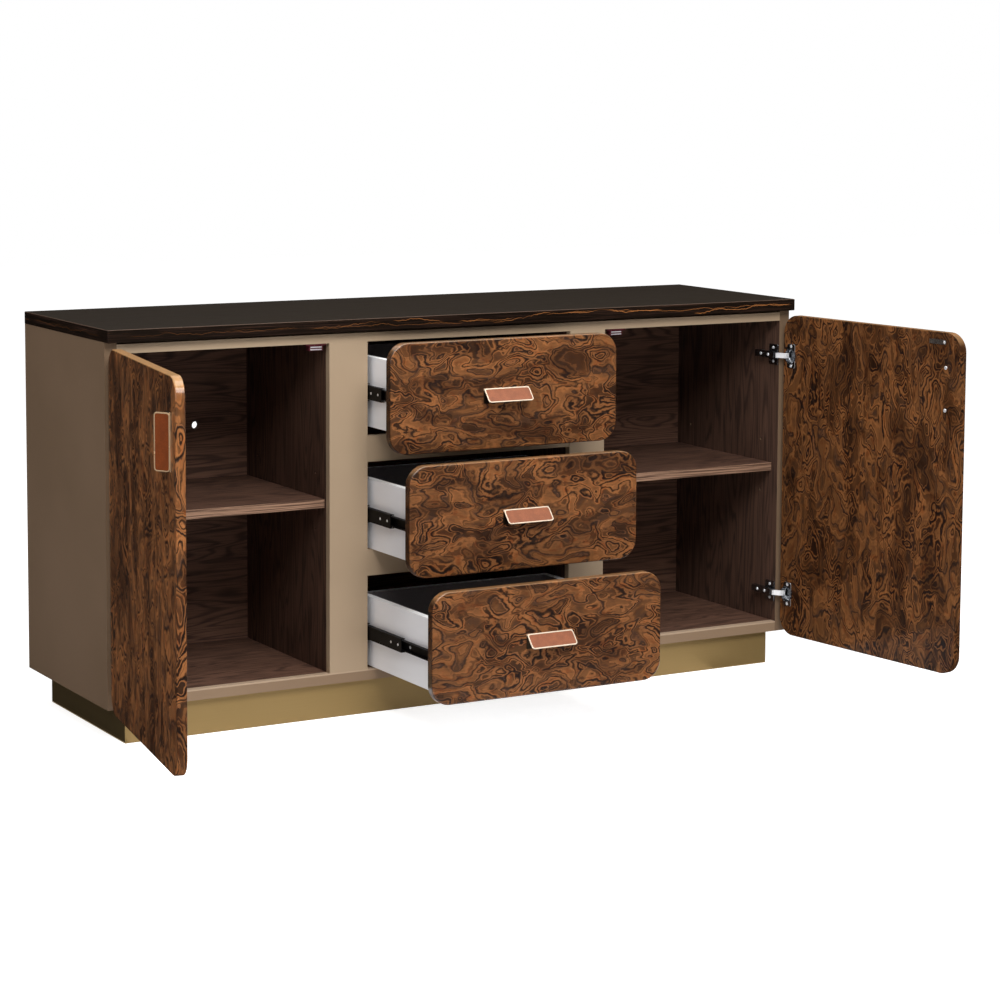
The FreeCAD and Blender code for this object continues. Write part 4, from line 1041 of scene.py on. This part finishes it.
shape = bmesh.new()
for side in SIDES.values():
    inward = (-side, 0, 0)
    for height in CUP["heights"]:
        for back in ARM_BACKS:
            drive(shape, ARM_HEAD, standing((side * (SIDE_FACE - ARM_FACE), FRONT + back, height), inward))
        for up in WING_UPS:
            spot = (side * (SIDE_FACE - WING["thick"]), FRONT + WING["back"], height + up)
            drive(shape, WING_HEAD, standing(spot, inward))
finished("plate_screws", shape, zinc, "case")

# %% [markdown]
# On the inside of each door are the screws of the hinge cups and of the strike plate, and the two that come
# through from the pull. They are placed on the closed door and turned with it.

# %% Screws of the doors
EAR_HEAD, EAR_UPS = (3.6 * MM, 0.6 * MM), (-21.5 * MM, 21.5 * MM)
STRIKE_HEAD, STRIKE_IN, STRIKE_FACE, STRIKE_HEIGHT = (3.2 * MM, 0.5 * MM), 46 * MM, 1.2 * MM, 756 * MM
PULL_HEAD, PULL_IN, PULL_UPS = (4 * MM, 1.5 * MM), 41.5 * MM, (-44 * MM, 44 * MM)

for word, side in SIDES.items():
    here = door_frame(word)
    free_edge = DOOR["pin_edge"] - DOOR["wide"]
    shape = bmesh.new()
    for height in CUP["heights"]:
        for up in EAR_UPS:
            spot = (side * (DOOR["pin_edge"] - CUP["middle"] - EAR["shift"]),
                    DOOR["pin_depth"] + EAR["thick"], height + up)
            drive(shape, EAR_HEAD, here @ standing(spot, (0, 1, 0)))
    spot = (side * (free_edge + STRIKE_IN), DOOR["pin_depth"] + STRIKE_FACE, STRIKE_HEIGHT)
    drive(shape, STRIKE_HEAD, here @ standing(spot, (0, 1, 0)))
    finished(f"{word}_door_screws", shape, zinc, f"{word}_door")
    shape = bmesh.new()
    for up in PULL_UPS:
        spot = (side * (free_edge + PULL_IN), DOOR["pin_depth"], PULL["door_height"] + up)
        drive(shape, PULL_HEAD, here @ standing(spot, (0, 1, 0)))
    finished(f"{word}_pull_screws", shape, zinc, f"{word}_door", f"{word}_door_handle_screws")

# %% [markdown]
# Screws hold the inner members of the runners to the drawers, and plain rivets show on the middle members.
# They ride on different bodies, since a middle member goes only half as far as its drawer.

# %% Screws and rivets of the runners
RUNNER_HEAD, RUNNER_SIDE, RUNNER_BACKS = (3.2 * MM, 1.2 * MM), 226.5 * MM, (32 * MM, 128 * MM, 256 * MM)
RIVET, RIVET_SIDE, RIVET_BACKS = (2.6 * MM, 1.0 * MM), 235.8 * MM, (14 * MM, 44 * MM)

for word in WORDS:
    low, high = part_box(f"{word}_drawer_inner_runners")
    height = (low.z + high.z) / 2
    shape = bmesh.new()
    for side in SIDES.values():
        for back in RUNNER_BACKS:
            drive(shape, RUNNER_HEAD, standing((side * RUNNER_SIDE, low.y + back, height), (side, 0, 0)))
    finished(f"{word}_runner_screws", shape, zinc, f"{word}_drawer")
    low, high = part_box(f"{word}_drawer_middle_runners")
    shape = bmesh.new()
    for side in SIDES.values():
        for back in RIVET_BACKS:
            place = standing((side * RIVET_SIDE, low.y + back, height), (side, 0, 0))
            join(shape, moved(rod(*RIVET), place), 0)
    finished(f"{word}_runner_rivets", shape, zinc, f"{word}_drawer_mid_runners")
